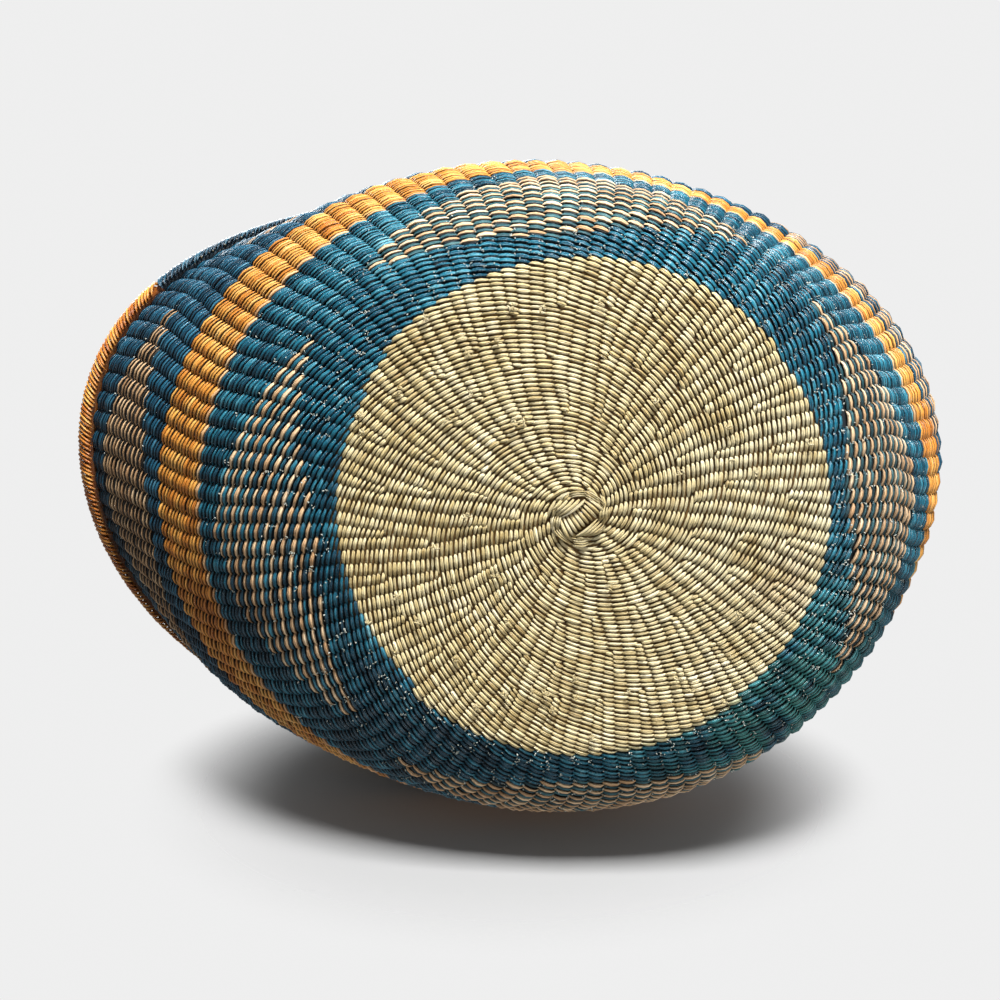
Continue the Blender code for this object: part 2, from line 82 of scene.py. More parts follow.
def natural_curve(*values):
    """A smooth curve through values at even stations, as a function of 0 to 1."""
    values = np.array(values, float)
    count = len(values)
    matrix = np.eye(count)
    bends = np.zeros(count)
    for index in range(1, count - 1):
        matrix[index, index - 1:index + 2] = (1, 4, 1)
        bends[index] = 6 * (values[index - 1] - 2 * values[index] + values[index + 1])
    bends = np.linalg.solve(matrix, bends)

    def curve(share):
        place = np.asarray(share, float) * (count - 1)
        index = np.clip(place.astype(int), 0, count - 2)
        ahead = place - index
        behind = 1 - ahead
        straight = values[index] * behind + values[index + 1] * ahead
        bent = (behind ** 3 - behind) * bends[index] + (ahead ** 3 - ahead) * bends[index + 1]
        return straight + bent / 6

    return curve


length_curve = natural_curve(0, 0.371, 0.659, 0.9, 1, 1)
width_curve = natural_curve(0, 0.648, 0.934, 1, 0.902, 0.652)
height_curve = natural_curve(0, 0.14, 0.35, 0.568, 0.791, 1)
lean_left_curve = natural_curve(0, 0.02, 0.152, 0.341, 0.638, 1)
lean_front_curve = natural_curve(0, -0.47, -0.92, 0.22, 0.65, 1)
rise_right_curve = natural_curve(0, 0.137, 0.429, 0.726, 0.994, 1)
rise_front_curve = natural_curve(0, 0.565, 0.783, 0.978, 1, 0.891)
bow_curve = natural_curve(0, -0.05, 0.293, 0.862, 1, 0.871)
pinch_curve = natural_curve(0, -0.048, -0.157, 0.084, 0.916, 1)
skew_curve = natural_curve(0, -0.05, 0.05, 0.9, 1, 0.64)


def outer_face(row, angle):
    """Points of the wall's outer face."""
    row, angle = np.broadcast_arrays(np.asarray(row, float), np.asarray(angle, float))
    cosine, sine = np.cos(np.radians(angle)), np.sin(np.radians(angle))
    twice = np.cos(np.radians(2 * angle))
    share = np.maximum(row, 0) / WALL_ROWS
    half_length = BASE_RADIUS + (BELLY_HALF_LENGTH - BASE_RADIUS) * length_curve(share)
    half_width = BASE_RADIUS + (BELLY_HALF_WIDTH - BASE_RADIUS) * width_curve(share)
    skew = SKEW * skew_curve(share)
    front = MOUTH_LEAN_FRONT * lean_front_curve(share) - PINCH_FRONT * pinch_curve(share) * twice
    left = MOUTH_LEAN_LEFT * lean_left_curve(share) + BOW_LEFT * bow_curve(share) * twice
    rise = (RISE_RIGHT * rise_right_curve(share) * sine
            + RISE_FRONT * rise_front_curve(share) * cosine)
    wall = np.stack((front + half_width * cosine + skew * sine,
                     half_length * sine + skew * cosine - left,
                     WALL_HEIGHT * height_curve(share) + rise), -1)
    radius = BASE_RADIUS * (1 + row / BASE_ROWS)
    base = np.stack((radius * cosine, radius * sine, np.zeros_like(radius)), -1)
    return np.where((row <= 0)[..., None], base, wall)


def unit(vectors):
    return vectors / np.maximum(np.linalg.norm(vectors, axis=-1, keepdims=True), 1e-12)


def along_row(row, angle):
    return unit(outer_face(row, angle + 1) - outer_face(row, angle - 1))


def outwards(row, angle):
    """The direction that the outer face looks in."""
    above, below = np.minimum(row + 2, WALL_ROWS), np.maximum(row - 2, -BASE_ROWS)
    climb = outer_face(above, angle) - outer_face(below, angle)
    return unit(np.cross(along_row(row, angle), climb))


def in_wall(row, angle, depth):
    """Points at a depth behind the outer face."""
    return outer_face(row, angle) - outwards(row, angle) * np.asarray(depth)[..., None]


# The ribs: bundles of stiff stalks that run from the knot to the rim, with new ones pushed in
# wherever the rows have grown too wide. They are hidden in the weave and make its flutes.
RIB_STAGES = ((-46, 20, 1), (-40, 40, 2), (-31, 60, 2), (-21, 84, 2), (-11, 112, 2))
FIRST_RIBS = 10
GROWING_ROWS = (7, 9, 11, 13, 16)
RIB_TURN = 1.1
BASE_SPIRAL = 0.21
DRIFT_ROWS = (0, 15, 29, 42, 55, 70)
RIB_DRIFT = {24: (0, 1.5, 4.3, 7, 9, 11), 57: (0, 0.8, 3.5, 6, 8, 10), 90: (0, 0.3, 4, 10, 12, 14),
             135: (0, 0.5, 3, 5, 6, 7), 174: (0, 0.8, 2.5, 4, 5, 5), 230: (0, 0.3, 0.8, 1, 0, -1),
             264: (0, 0, 0, 0, -2, -4), 300: (0, 1, 2, 3.5, 7, 10), 324: (0, 1.5, 4.3, 7, 10, 13),
             348: (0, 2.5, 6.5, 9, 10, 11)}
chance = np.random.default_rng(11)


def spread_ribs():
    """The row at which each rib starts and its angle at each stage, in order round the basket.

    A stage is a row, the number of ribs above it and how many rows the new ones are spread over."""
    births = [-BASE_ROWS] * FIRST_RIBS
    ribs = list(range(FIRST_RIBS))
    stages = [(-BASE_ROWS, list(ribs))]
    for row, count, spread in RIB_STAGES:
        new = count - len(ribs)
        rows = np.repeat(row + chance.integers(-spread, spread + 1, new // 2), 2)
        after = {}
        for index in range(new):
            after.setdefault(int((index + 0.5) * len(ribs) / new), []).append(len(births) + index)
        births += list(rows)
        ribs = [rib for index, old in enumerate(ribs) for rib in [old, *after.get(index, [])]]
        stages.append((row, list(ribs)))
    order = np.array(ribs)
    angles = []
    for row, alive in stages:
        known = np.flatnonzero(np.isin(order, alive))
        even = (np.arange(len(alive)) + 0.5) / len(alive) * 360
        known = np.concatenate((known - len(order), known, known + len(order)))
        even = np.concatenate((even - 360, even, even + 360))
        angles.append(np.interp(np.arange(len(order)), known, even))
    return np.array(births, float)[order], [row for row, alive in stages], angles


rib_births, stage_rows, stage_angles = spread_ribs()


def rib_drift(row, angle):
    """How far the ribs have wound round the basket at a row, in degrees."""
    places = sorted(RIB_DRIFT)
    here = [np.interp(row, DRIFT_ROWS, RIB_DRIFT[place]) for place in places]
    return np.interp(angle % 360, [places[-1] - 360, *places, places[0] + 360],
                     [here[-1], *here, here[0]])


def rib_angles(row):
    """The angles of the ribs at a row."""
    alive = np.flatnonzero(rib_births <= row)
    angle = stage_angles[0]
    for start, later, span in zip(stage_rows[1:], stage_angles[1:], GROWING_ROWS):
        grown = min(1, max(0, (row - start) / span + 0.2))
        angle = angle + (later - angle) * grown * grown * (3 - 2 * grown)
    spiral = math.degrees(BASE_SPIRAL * math.log(1 + min(row, 0) / BASE_ROWS))
    angle = angle[alive] + RIB_TURN + spiral
    return angle + rib_drift(row, angle)


# The twining: in each row two strands of grass wind round each other and hold a rib in every
# half turn, so that each shows as a slanting grain over every second rib, outside and inside.
STATIONS = np.array((-0.46, -0.25, 0, 0.25, 0.46))
TIP_SHARE = 0.16
CUT_GIRTH = 0.6
GIRTH_CHANGE = 0.26
LAP_CHANGE = 0.3
LEVEL_CHANGE = 0.12
CLIMB_CHANGE = 0.1
MIDDLE_DEPTH = WALL_THICKNESS / 2
HOLE_ROW = 66.5
HOLE_ANGLES = (3, 183)
HOLE_SIZE = 0.0056
HOLE_REACH = 0.0105
HOLE_DEPTH = 0.02
hole_middles = [in_wall(HOLE_ROW, angle, MIDDLE_DEPTH) for angle in HOLE_ANGLES]


def round_holes(points):
    """Pushes strands up or down round the two holes of the handle."""
    for hole, middle in zip(HOLE_ANGLES, hole_middles):
        side, face = along_row(HOLE_ROW, hole), outwards(HOLE_ROW, hole)
        rise = np.cross(face, side)
        away = points - middle
        across, above, deep = away @ side, away @ rise, np.abs(away @ face)
        near = (np.abs(across) < HOLE_SIZE) & (np.abs(above) < HOLE_REACH) & (deep < HOLE_DEPTH)
        edge = np.sqrt(np.maximum(HOLE_SIZE ** 2 - across ** 2, 0))
        moved = np.sign(above) * (edge + np.abs(above) * (1 - edge / HOLE_REACH))
        points = points + np.where(near, moved - above, 0)[..., None] * rise
    return points


def twine(row, swing, slant, rows, fullness, bluntness, reach):
    """The two strands of one row as arrays over (strand, rib, station).

    swing is how far a strand passes in front of the middle of the wall, slant how many rows it
    climbs behind each rib, rows its share of a full row, bluntness how soon it dives in, and reach
    how far it laps over the ribs beside its own."""
    angles = rib_angles(row)
    after = np.append(angles[1:], angles[0] + 360) - angles
    before = angles - np.append(angles[-1] - 360, angles[:-1])
    count = len(angles)
    station = STATIONS[None, None, :]
    in_front = (np.arange(count)[None, :] + np.arange(2)[:, None]) % 2 == 0
    sign = np.where(in_front, 1.0, -1.0)[:, :, None]
    half = np.where(station > 0, after[None, :, None], before[None, :, None]) / 2
    lap = 1 + chance.uniform(-LAP_CHANGE, LAP_CHANGE, (2, count, 1))
    bulge = 1 - (2 * station) ** 2
    angle = angles[None, :, None] + 2 * station * half * (1 + reach * sign * lap)
    proud, climb, swell, shade = chance.uniform(-1, 1, (4, 2, count, 1))
    wave = np.cos(np.pi * station)
    level = sign * swing * wave ** bluntness + bulge * proud * swing * LEVEL_CHANGE
    place = row - rows * (sign * slant * np.sin(np.pi * station) + bulge * climb * CLIMB_CHANGE)
    pitch = outer_face(place + rows / 2, angle) - outer_face(place - rows / 2, angle)
    girth = (np.linalg.norm(pitch, axis=-1) / 2 * fullness
             * (TIP_SHARE + (1 - TIP_SHARE) * wave ** 0.8) * (1 + GIRTH_CHANGE * swell))
    return {"points": round_holes(in_wall(place, angle, MIDDLE_DEPTH - level)),
            "facing": outwards(place, angle), "girth": girth, "front": sign * wave,
            "shade": np.broadcast_to((shade + 1) / 2, girth.shape), "angles": angles}


class Strands:
    """Lines of strands that are gathered for one piece."""

    def __init__(self):
        self.parts = []

    def add(self, points, facing, girth, dye=0.0, shade=0.0, front=1.0, closed=False):
        """Adds a line. What is given once holds for all of its points."""
        values = [np.broadcast_to(value, len(points)) for value in (girth, dye, shade, front)]
        self.parts.append((points, np.broadcast_to(facing, (len(points), 3)), *values, closed))

    def take(self, woven, inside, dye):
        """Takes the grains of a twined row for which inside is true, as runs of neighbours.

        dye gives each grain's colour, by strand and rib."""
        count = len(inside)
        for strand in range(2):
            points, facing, girth, shade, front = [
                woven[key][strand] for key in ("points", "facing", "girth", "shade", "front")]
            colour = np.repeat(dye[strand][:count, None], len(STATIONS), axis=1)
            fields = (points, facing, girth, colour, shade, front)
            if inside.all():
                self.add(*[field.reshape(-1, *field.shape[2:]) for field in fields], True)
                continue
            for start in [k for k in range(count) if inside[k] and not inside[k - 1]]:
                length = 1
                while inside[(start + length) % count]:
                    length += 1
                run = np.arange(start, start + length) % count
                flat = [field[run].reshape(-1, *field.shape[2:]) for field in fields]
                flat = [np.concatenate((field[:1], field, field[-1:])) for field in flat]
                flat[0][0] = (flat[0][0] + points[start - 1][-1]) / 2
                flat[0][-1] = (flat[0][-1] + points[(start + length) % count][0]) / 2
                flat[2][[0, -1]] *= CUT_GIRTH
                self.add(*flat)


class Tree:
    """A node tree that is filled one node at a time."""

    def __init__(self, tree):
        self.tree = tree
        self.tree.nodes.clear()

    def node(self, kind, settings=None, inputs=None, output=0):
        """Adds a node: its settings first, then a value or a link for each named socket."""
        made = self.tree.nodes.new(kind)
        for key, value in (settings or {}).items():
            if key == "stops":
                ramp = made.color_ramp
                while len(ramp.elements) < len(value):
                    ramp.elements.new(1)
                for element, (place, color) in zip(ramp.elements, value):
                    element.position = place
                    element.color = (*color, 1)
            else:
                setattr(made, key, value)
        for key, value in (inputs or {}).items():
            socket = made.inputs[key]
            if isinstance(value, Signal):
                self.tree.links.new(value.socket, socket)
            elif value is not None:
                socket.default_value = value
        return Signal(self, made.outputs[output]) if made.outputs else None

    def place(self):
        return self.node("ShaderNodeTexCoord", None, None, "Object")

    def noise(self, place, scale, detail, roughness=0.5):
        return self.node("ShaderNodeTexNoise", None, {
            "Vector": place, "Scale": scale, "Detail": detail, "Roughness": roughness})

    def ramp(self, value, places, colors):
        """Screen colours at places along a value."""
        stops = [(place, linear(*color)) for place, color in zip(places, colors)]
        return self.node("ShaderNodeValToRGB", {"stops": stops}, {0: value})

    def mixed(self, amount, under, over, blend="MIX"):
        return self.node("ShaderNodeMix", {"data_type": "RGBA", "blend_type": blend},
                         {0: amount, 6: under, 7: over}, 2)

    # Multiplies a colour by a grey level; the grass and the leather use it for painted shade.
    def dimmed(self, color, light):
        grey = self.node("ShaderNodeCombineColor", None, {0: light, 1: light, 2: light})
        return self.mixed(1.0, color, grey, "MULTIPLY")

    def surface(self, color, roughness, height, strength, depth, specular):
        """Ends the tree in a rough surface with bumps up to a depth in metres."""
        bump = self.node("ShaderNodeBump", None, {
            "Strength": strength, "Distance": depth, "Height": height})
        self.node("ShaderNodeOutputMaterial", None, {
            "Surface": self.node("ShaderNodeBsdfPrincipled", None, {
                "Base Color": color, "Roughness": roughness, "Normal": bump,
                "Specular IOR Level": specular})})


class Signal:
    """A socket of a tree. Arithmetic on signals adds the Math nodes for it."""

    def __init__(self, tree, socket):
        self.tree, self.socket = tree, socket

    def math(self, operation, first, second=None):
        return self.tree.node("ShaderNodeMath", {"operation": operation}, {0: first, 1: second})

    def __add__(self, other):
        return self.math("ADD", self, other)

    __radd__ = __add__

    def __sub__(self, other):
        return self.math("SUBTRACT", self, other)

    def __rsub__(self, other):
        return self.math("SUBTRACT", other, self)

    def __mul__(self, other):
        return self.math("MULTIPLY", self, other)

    __rmul__ = __mul__

    def __abs__(self):
        return self.math("ABSOLUTE", self)

    def between(self, low, high):
        """0 at low and below, 1 at high and above, smooth in between."""
        return self.tree.node("ShaderNodeMapRange", {"interpolation_type": "SMOOTHSTEP"},
                              {0: self, 1: low, 2: high, 3: 0.0, 4: 1.0})


def linear(red, green, blue):
    """A colour as seen on screen, from 0 to 255, as the light it stands for."""
    return tuple(c / 12.92 if c <= 0.04045 else ((c + 0.055) / 1.055) ** 2.4
                 for c in (red / 255, green / 255, blue / 255))


def emptied(block):
    """The node tree of a material or world, without its nodes."""
    block.use_nodes = True
    return Tree(block.node_tree)


def strand_tree():
    """Geometry nodes that sweep strands along lines and store how each lies."""
    group = bpy.data.node_groups.new("strands along lines", "GeometryNodeTree")
    ports = {}
    group.interface.new_socket("Geometry", in_out="OUTPUT", socket_type="NodeSocketGeometry")
    for name, kind in (("Geometry", "Geometry"), ("Sides", "Int"), ("Flatness", "Float"),
                       ("Material", "Material")):
        ports[name] = group.interface.new_socket(
            name, in_out="INPUT", socket_type="NodeSocket" + kind).identifier
    tree = Tree(group)
    given = group.nodes.new("NodeGroupInput")
    port = {name: Signal(tree, given.outputs[name]) for name in ports}

    def named(name, kind):
        return tree.node("GeometryNodeInputNamedAttribute", {"data_type": kind}, {"Name": name})

    line = tree.node("GeometryNodeMeshToCurve", None, {"Mesh": port["Geometry"]})
    line = tree.node("GeometryNodeSetCurveNormal", {"mode": "FREE"},
                     {"Curve": line, "Normal": named("facing", "FLOAT_VECTOR")})
    ring = tree.node("GeometryNodeCurvePrimitiveCircle", None,
                     {"Resolution": port["Sides"], "Radius": 1.0})
    ring = tree.node("GeometryNodeStoreNamedAttribute", {"data_type": "FLOAT_VECTOR"}, {
        "Geometry": ring, "Name": "ply", "Value": tree.node("GeometryNodeInputPosition")})
    shape = tree.node("ShaderNodeCombineXYZ", None, {"X": port["Flatness"], "Y": 1.0, "Z": 1.0})
    ring = tree.node("GeometryNodeTransform", None, {"Geometry": ring, "Scale": shape})
    swept = tree.node("GeometryNodeCurveToMesh", None, {
        "Curve": line, "Profile Curve": ring, "Scale": named("girth", "FLOAT"), "Fill Caps": True})
    for kind in ("SetShadeSmooth", "RealizeInstances"):
        swept = tree.node("GeometryNode" + kind, None, {"Geometry": swept})
    swept = tree.node("GeometryNodeSetMaterial", None,
                      {"Geometry": swept, "Material": port["Material"]})
    end = group.nodes.new("NodeGroupOutput")
    group.links.new(swept.socket, end.inputs[0])
    return group, ports


strand_group, strand_ports = strand_tree()


def piece(name, mesh, body, replaced=()):
    made = bpy.data.objects.new(name, mesh)
    scene.collection.objects.link(made)
    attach(made, body)
    if replaced:
        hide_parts(*replaced)


def lengths_along(points):
    """The length of a line from its start up to each of its points."""
    return np.concatenate(([0], np.cumsum(np.linalg.norm(np.diff(points, axis=0), axis=1))))


def strand_piece(name, strands, material, body, replaced=(), sides=6, flatness=0.74):
    """Sweeps gathered strands and keeps the result as one plain piece on a body."""
    edges, total = [], 0
    for points, *_, closed in strands.parts:
        index = np.arange(total, total + len(points))
        edges.append(np.stack((index[:-1], index[1:]), -1))
        if closed:
            edges.append(np.array([[index[-1], index[0]]]))
        total += len(points)
    points, facing, *values, _ = zip(*strands.parts)
    mesh = bpy.data.meshes.new(name + " lines")
    mesh.from_pydata(np.vstack(points), np.vstack(edges), [])
    mesh.attributes.new("facing", "FLOAT_VECTOR", "POINT").data.foreach_set(
        "vector", np.vstack(facing).astype(np.float32).ravel())
    values.append([lengths_along(line) for line in points])
    for key, parts in zip(("girth", "dye", "shade", "front", "run"), values):
        mesh.attributes.new(key, "FLOAT", "POINT").data.foreach_set(
            "value", np.concatenate(parts).astype(np.float32))
    source = bpy.data.objects.new(name + " source", mesh)
    scene.collection.objects.link(source)
    step = source.modifiers.new("nodes", "NODES")
    step.node_group = strand_group
    for port, value in (("Sides", sides), ("Flatness", flatness), ("Material", material)):
        step[strand_ports[port]] = value
    bpy.context.view_layer.update()
    made = bpy.data.meshes.new_from_object(
        source.evaluated_get(bpy.context.evaluated_depsgraph_get()))
    made.name = name
    bpy.data.objects.remove(source)
    piece(name, made, body, replaced)


def grass(name, first, second=None, gloss=0.42, light_at_crossing=0.12, shade_at_edges=0.72, tints=()):
    """Twisted grass strands. Each dye is four screen colours, from its darkest to its palest, and
    tints are (place, reach, colour, amount) of patches where the dye has run or faded, or of
    painted light and shade on one side. Two of the arguments set how much shade is painted where a
    strand dives in at a crossing and along its edges."""
    material = bpy.data.materials.new(name)
    tree = emptied(material)

    def attribute(key, output="Fac"):
        return tree.node("ShaderNodeAttribute", {"attribute_name": key}, None, output)

    run, shade, front, ply = *map(attribute, ("run", "shade", "front")), attribute("ply", "Vector")
    around, side = [tree.node("ShaderNodeSeparateXYZ", None, {0: ply}, axis) for axis in "XY"]
    fibre = tree.noise(tree.node("ShaderNodeCombineXYZ", None, {
        0: run * 110 + shade * 31, 1: around * 4.0, 2: side * 4.0}), 1.0, 3.0, 0.65)
    place = tree.place()
    patch, wide, fleck = [tree.noise(place, scale, detail)
                          for scale, detail in ((60.0, 3.0), (11.0, 2.0), (900.0, 1.0))]
    tone = shade * 0.3 + (fibre - 0.5) * 1.25 + (patch - 0.5) * 0.55 + (wide - 0.5) * 0.4 + 0.33
    stops = (0.05, 0.38, 0.68, 0.98)
    color = tree.ramp(tone, stops, first)
    if second:
        dyed = attribute("dye").between(0.4, 0.6)
        color = tree.mixed(dyed, color, tree.ramp(tone, stops, second))
    for middle, reach, tint, amount in tints:
        away = tree.node("ShaderNodeVectorMath", {"operation": "DISTANCE"},
                         {0: place, 1: middle}, "Value")
        share = (1 - away.between(0.0, reach)) * amount * patch.between(0.3, 0.6)
        color = tree.mixed(share, color, (*linear(*tint), 1))
    # Painted shade: the colour is darkened where a strand dives in at a crossing, along its edges
    # next to the neighbouring rows, and along the crease between its two plies.
    proud, edge = abs(front).between(0.0, 0.4), abs(side).between(0.4, 1.0)
    crease = abs(side + (shade - 0.5) * 0.5).between(0.0, 0.24)
    light = (light_at_crossing + (1 - light_at_crossing) * proud) * (1 - shade_at_edges * edge) * (0.6 + 0.4 * crease)
    tree.surface(tree.dimmed(color, light), gloss + (fibre - 0.5) * 0.35 + (fleck - 0.5) * 0.5,
                 fibre + 0.6 * crease + 0.35 * fleck, 0.8, 0.0006, 0.6)
    return material


# The base: a disc of plain grass, closely twined round the knot in its middle. Its last row is
# dyed already on the left, and one more plain row follows at the front and the back.
NATURAL = ((124, 86, 18), (204, 182, 124), (242, 226, 178), (255, 249, 228))
BLUE = ((0, 22, 36), (10, 72, 94), (30, 124, 148), (158, 220, 228))
BASE_PARTS = (("middle", -49, -22), ("round", -22, -9), ("edge", -9, 0))
BASE_SWING = 0.0017
BASE_SLANT = 0.45
BASE_BLUNTNESS = 0.32
BASE_FULLNESS = 0.95
BASE_REACH = 0.22
DYED_EDGE = (262, 38)
STAIN = ((-0.030, 0.091, 0.0), 0.026, (150, 100, 48), 0.75)
# Painted light: the right of the disc is tinted paler, as if lit more there.
PAINTED_LIGHT_RIGHT = ((0.0, 0.10, 0.0), 0.11, (254, 246, 208), 0.55)
natural_grass = grass("natural grass", NATURAL, BLUE, gloss=0.44, shade_at_edges=0.62,
                      tints=[STAIN, PAINTED_LIGHT_RIGHT])
plain = np.zeros((2, len(rib_births)))


def apart(angles, middle):
    """How far angles lie from another one, in degrees."""
    return np.abs((angles - middle + 180) % 360 - 180)


def dyed_where(angles, middle, reach):
    """Dye for the grains within reach of an angle."""
    dye = plain.copy()
    dye[:, :len(angles)] = apart(angles, middle) < reach
    return dye


for part, low, high in BASE_PARTS:
    strands = Strands()
    for row in range(low, high):
        woven = twine(row + 0.5, BASE_SWING, BASE_SLANT, 1.0, BASE_FULLNESS, BASE_BLUNTNESS,
                      BASE_REACH)
        dye = dyed_where(woven["angles"], *DYED_EDGE) if row == -1 else plain
        strands.take(woven, np.ones(len(woven["angles"]), bool), dye)
    strand_piece("base_weave_" + part, strands, natural_grass, "basket",
                 ["base_weave"])


# The stalks inside the weave, side by side from the knot up to the rim. They show only in the
# depths between the grains, and their dark colours are partly their own and partly painted shade of
# those depths: brown in the base, nearly black navy in the wall.
STALK_RADIUS = 0.00055
STALK_COLUMNS = 136
STALK_HOLE = 1.3
STALK_AND_SHADE_COLORS = ((64, 42, 10), (112, 80, 28), (146, 112, 54))
stalk_rows = np.concatenate(([-52.6], np.arange(-50.0, 0, 5), np.arange(0.0, WALL_ROWS + 1, 2.5)))


def stalk_sheet():
    """A closed thin sheet in the middle of the wall, open at the handle's holes."""
    angles = np.arange(STALK_COLUMNS) * 360 / STALK_COLUMNS
    rows, around = np.meshgrid(stalk_rows, angles, indexing="ij")
    faces = [in_wall(rows, around, MIDDLE_DEPTH + shift).reshape(-1, 3)
             for shift in (-STALK_RADIUS, STALK_RADIUS)]
    count = len(faces[0])
    kept = []
    for ring in range(0, count - STALK_COLUMNS, STALK_COLUMNS):
        for column in range(STALK_COLUMNS):
            after = (column + 1) % STALK_COLUMNS
            quad = [ring + column, ring + after,
                    ring + STALK_COLUMNS + after, ring + STALK_COLUMNS + column]
            middle = faces[0][quad].mean(0)
            if all(np.linalg.norm(middle - hole) > HOLE_SIZE * STALK_HOLE for hole in hole_middles):
                kept.append(quad)
    edges = {(quad[k - 1], quad[k]) for quad in kept for k in range(4)}
    polygons = kept + [[corner + count for corner in reversed(quad)] for quad in kept]
    polygons += [[end, start, start + count, end + count]
                 for start, end in edges if (end, start) not in edges]
    mesh = bpy.data.meshes.new("stalks")
    mesh.from_pydata(np.vstack(faces), [], polygons)
    mesh.shade_smooth()
    return mesh


stalk_and_shade_finish = bpy.data.materials.new("stalks")
tree = emptied(stalk_and_shade_finish)
place = tree.place()
streak = tree.noise(place, 420.0, 3.0)
color = tree.ramp(streak, (0.3, 0.55, 0.8), STALK_AND_SHADE_COLORS)
# Painted shade: above the base the stalks turn nearly black navy, as dark as the depths between
# blue grains.
wall_shade = tree.node("ShaderNodeSeparateXYZ", None, {0: place}, "Z").between(0.002, 0.004)
color = tree.mixed(wall_shade, color, (*linear(3, 16, 24), 1))
tree.surface(color, 0.7, streak, 0.5, 0.0005, 0.5)
stalks = stalk_sheet()
stalks.materials.append(stalk_and_shade_finish)
piece("rib_stalks", stalks, "basket")


# The knot that the base starts from: strands laid side by side across a square, held on two
# sides by bundles that cross over their ends, with the first rounds wrapped over the corners.
KNOT_UNIT = 0.0000366
KNOT_STEPS = 11
DOWN = (0.0, 0.0, -1.0)
strands = Strands()


def knot_strand(places, girth, shade):
    """A strand through three places (right, down, proud) of the knot, in parts of KNOT_UNIT."""
    share = np.linspace(0, 1, KNOT_STEPS)
    first, middle, last = places
    bend = 2 * middle - (first + last) / 2
    curve = (np.outer((1 - share) ** 2, first) + np.outer(2 * share * (1 - share), bend)
             + np.outer(share ** 2, last))
    curve = curve[:, [1, 0, 2]] * (-KNOT_UNIT, KNOT_UNIT, -KNOT_UNIT)
    taper = np.sin(np.pi * (0.06 + 0.88 * share)) ** 0.5
    strands.add(curve, DOWN, girth * taper, 0, shade)


KNOT_FANS = (
    (10, (-243, 52, -14, -189, 194, 26, -134, 292, -14),
     (73, -199, -14, 193, -122, 26, 280, -35, -14)),
    (5, (-238, 36, -8, -80, -68, 44, 51, -188, 26),
     (-350, -50, -16, -285, -110, 22, -215, -190, -16)),
    (4, (-47, 254, 26, 73, 172, 44, 204, 52, -8),
     (90, 262, -16, 190, 205, 22, 285, 125, -16)),
    (4, (-352, 150, -12, -345, 85, 20, -320, 20, -12),
     (-260, 150, -12, -255, 85, 20, -235, 20, -12)),
    (4, (237, 50, -12, 235, -10, 20, 260, -100, -12),
     (340, 40, -12, 340, -25, 20, 350, -90, -12)),
    (3, (-145, -253, -12, -36, -285, 20, 80, -270, -12),
     (-120, -205, -12, -36, -235, 16, 60, -225, -12)),
    (4, (73, -290, -12, 193, -226, 24, 290, -133, -12),
     (60, -215, -12, 150, -170, 18, 235, -95, -12)),
    (4, (-320, 190, -12, -235, 285, 20, -140, 350, -12),
     (-235, 170, -12, -190, 235, 12, -130, 290, -12)),
    (4, (-110, 285, -12, -3, 296, 20, 95, 281, -12),
     (-80, 370, -12, 10, 385, 18, 100, 365, -12)),
    (3, (-250, -150, -12, -210, -230, 14, -150, -260, -12),
     (-180, -150, -12, -150, -190, 10, -120, -205, -12)))
for count, *sides in KNOT_FANS:
    first, last = np.array(sides).reshape(2, 3, 3)
    spacing = [math.dist(a[:2], b[:2]) / (count - 1) * KNOT_UNIT for a, b in zip(first, last)]
    for index in range(count):
        girth = np.interp(np.linspace(0, 2, KNOT_STEPS), (0, 1, 2), spacing)
        knot_strand(first + (last - first) * (index / (count - 1)),
                    girth * chance.uniform(0.38, 0.48), chance.uniform(0, 1))
strand_piece("knot_strands", strands, natural_grass, "basket", ["centre_knot"],
             sides=8)


# The lower wall: blue grass with four diamonds woven in, of tan grass laid over every second
# strand or row.
DIAMOND_ANGLES = {"right": 85, "back": 177.5, "left": 264, "front": 356}
DIAMOND_REACH = {"right": 39, "back": 37, "left": 40, "front": 37.5}
LOWER_DIAMONDS = {"right": (3, 23), "back": (7, 27), "left": (3, 25), "front": (5, 25)}
UPPER_DIAMONDS = dict.fromkeys(DIAMOND_ANGLES, (46, 65))
FOOT_BULGE = 1.45
HEAD_BULGE = 1.25
TAN = ((164, 112, 66), (226, 180, 130), (244, 214, 172), (254, 244, 222))
TEAL = ((4, 28, 34), (18, 66, 76), (46, 102, 110), (140, 178, 172))
WALL_SWING = 0.0027
WALL_SLANT = 0.48
WALL_BLUNTNESS = 0.7
WALL_REACH = 0.36
WALL_FULLNESS = 0.8
TAN_SWELL = 1.08
DARK_SWELL = 0.9
FLUTE_ROWS = 24
EDGE_ANGLES = (0, 15, 30, 45, 60, 75, 85, 95, 105, 120, 335, 350, 360)
ORANGE_FOOT = (29.5, 29, 29, 29, 29, 29.5, 31, 31.5, 31, 29, 29, 30.4, 29.5)
ORANGE_HEAD = (38.5, 36.5, 35.5, 35, 34.5, 35.5, 37.5, 40, 42, 42, 42, 41, 38.5)
PLAIN_START = ((0, 50), (180, 42))
TEAL_PATCH = ((-0.1, 0.098, 0.01), 0.1, (84, 172, 152), 0.6)


def wall_twine(row, rows=1.0, swell=1.0):
    """A row of the wall. The flutes deepen over the first rows above the base."""
    deepened = min(1, max(0, row / FLUTE_ROWS))
    swing = BASE_SWING + (WALL_SWING - BASE_SWING) * deepened
    return twine(row, swing * swell, WALL_SLANT, rows, WALL_FULLNESS,
                 BASE_BLUNTNESS + (WALL_BLUNTNESS - BASE_BLUNTNESS) * deepened, WALL_REACH)


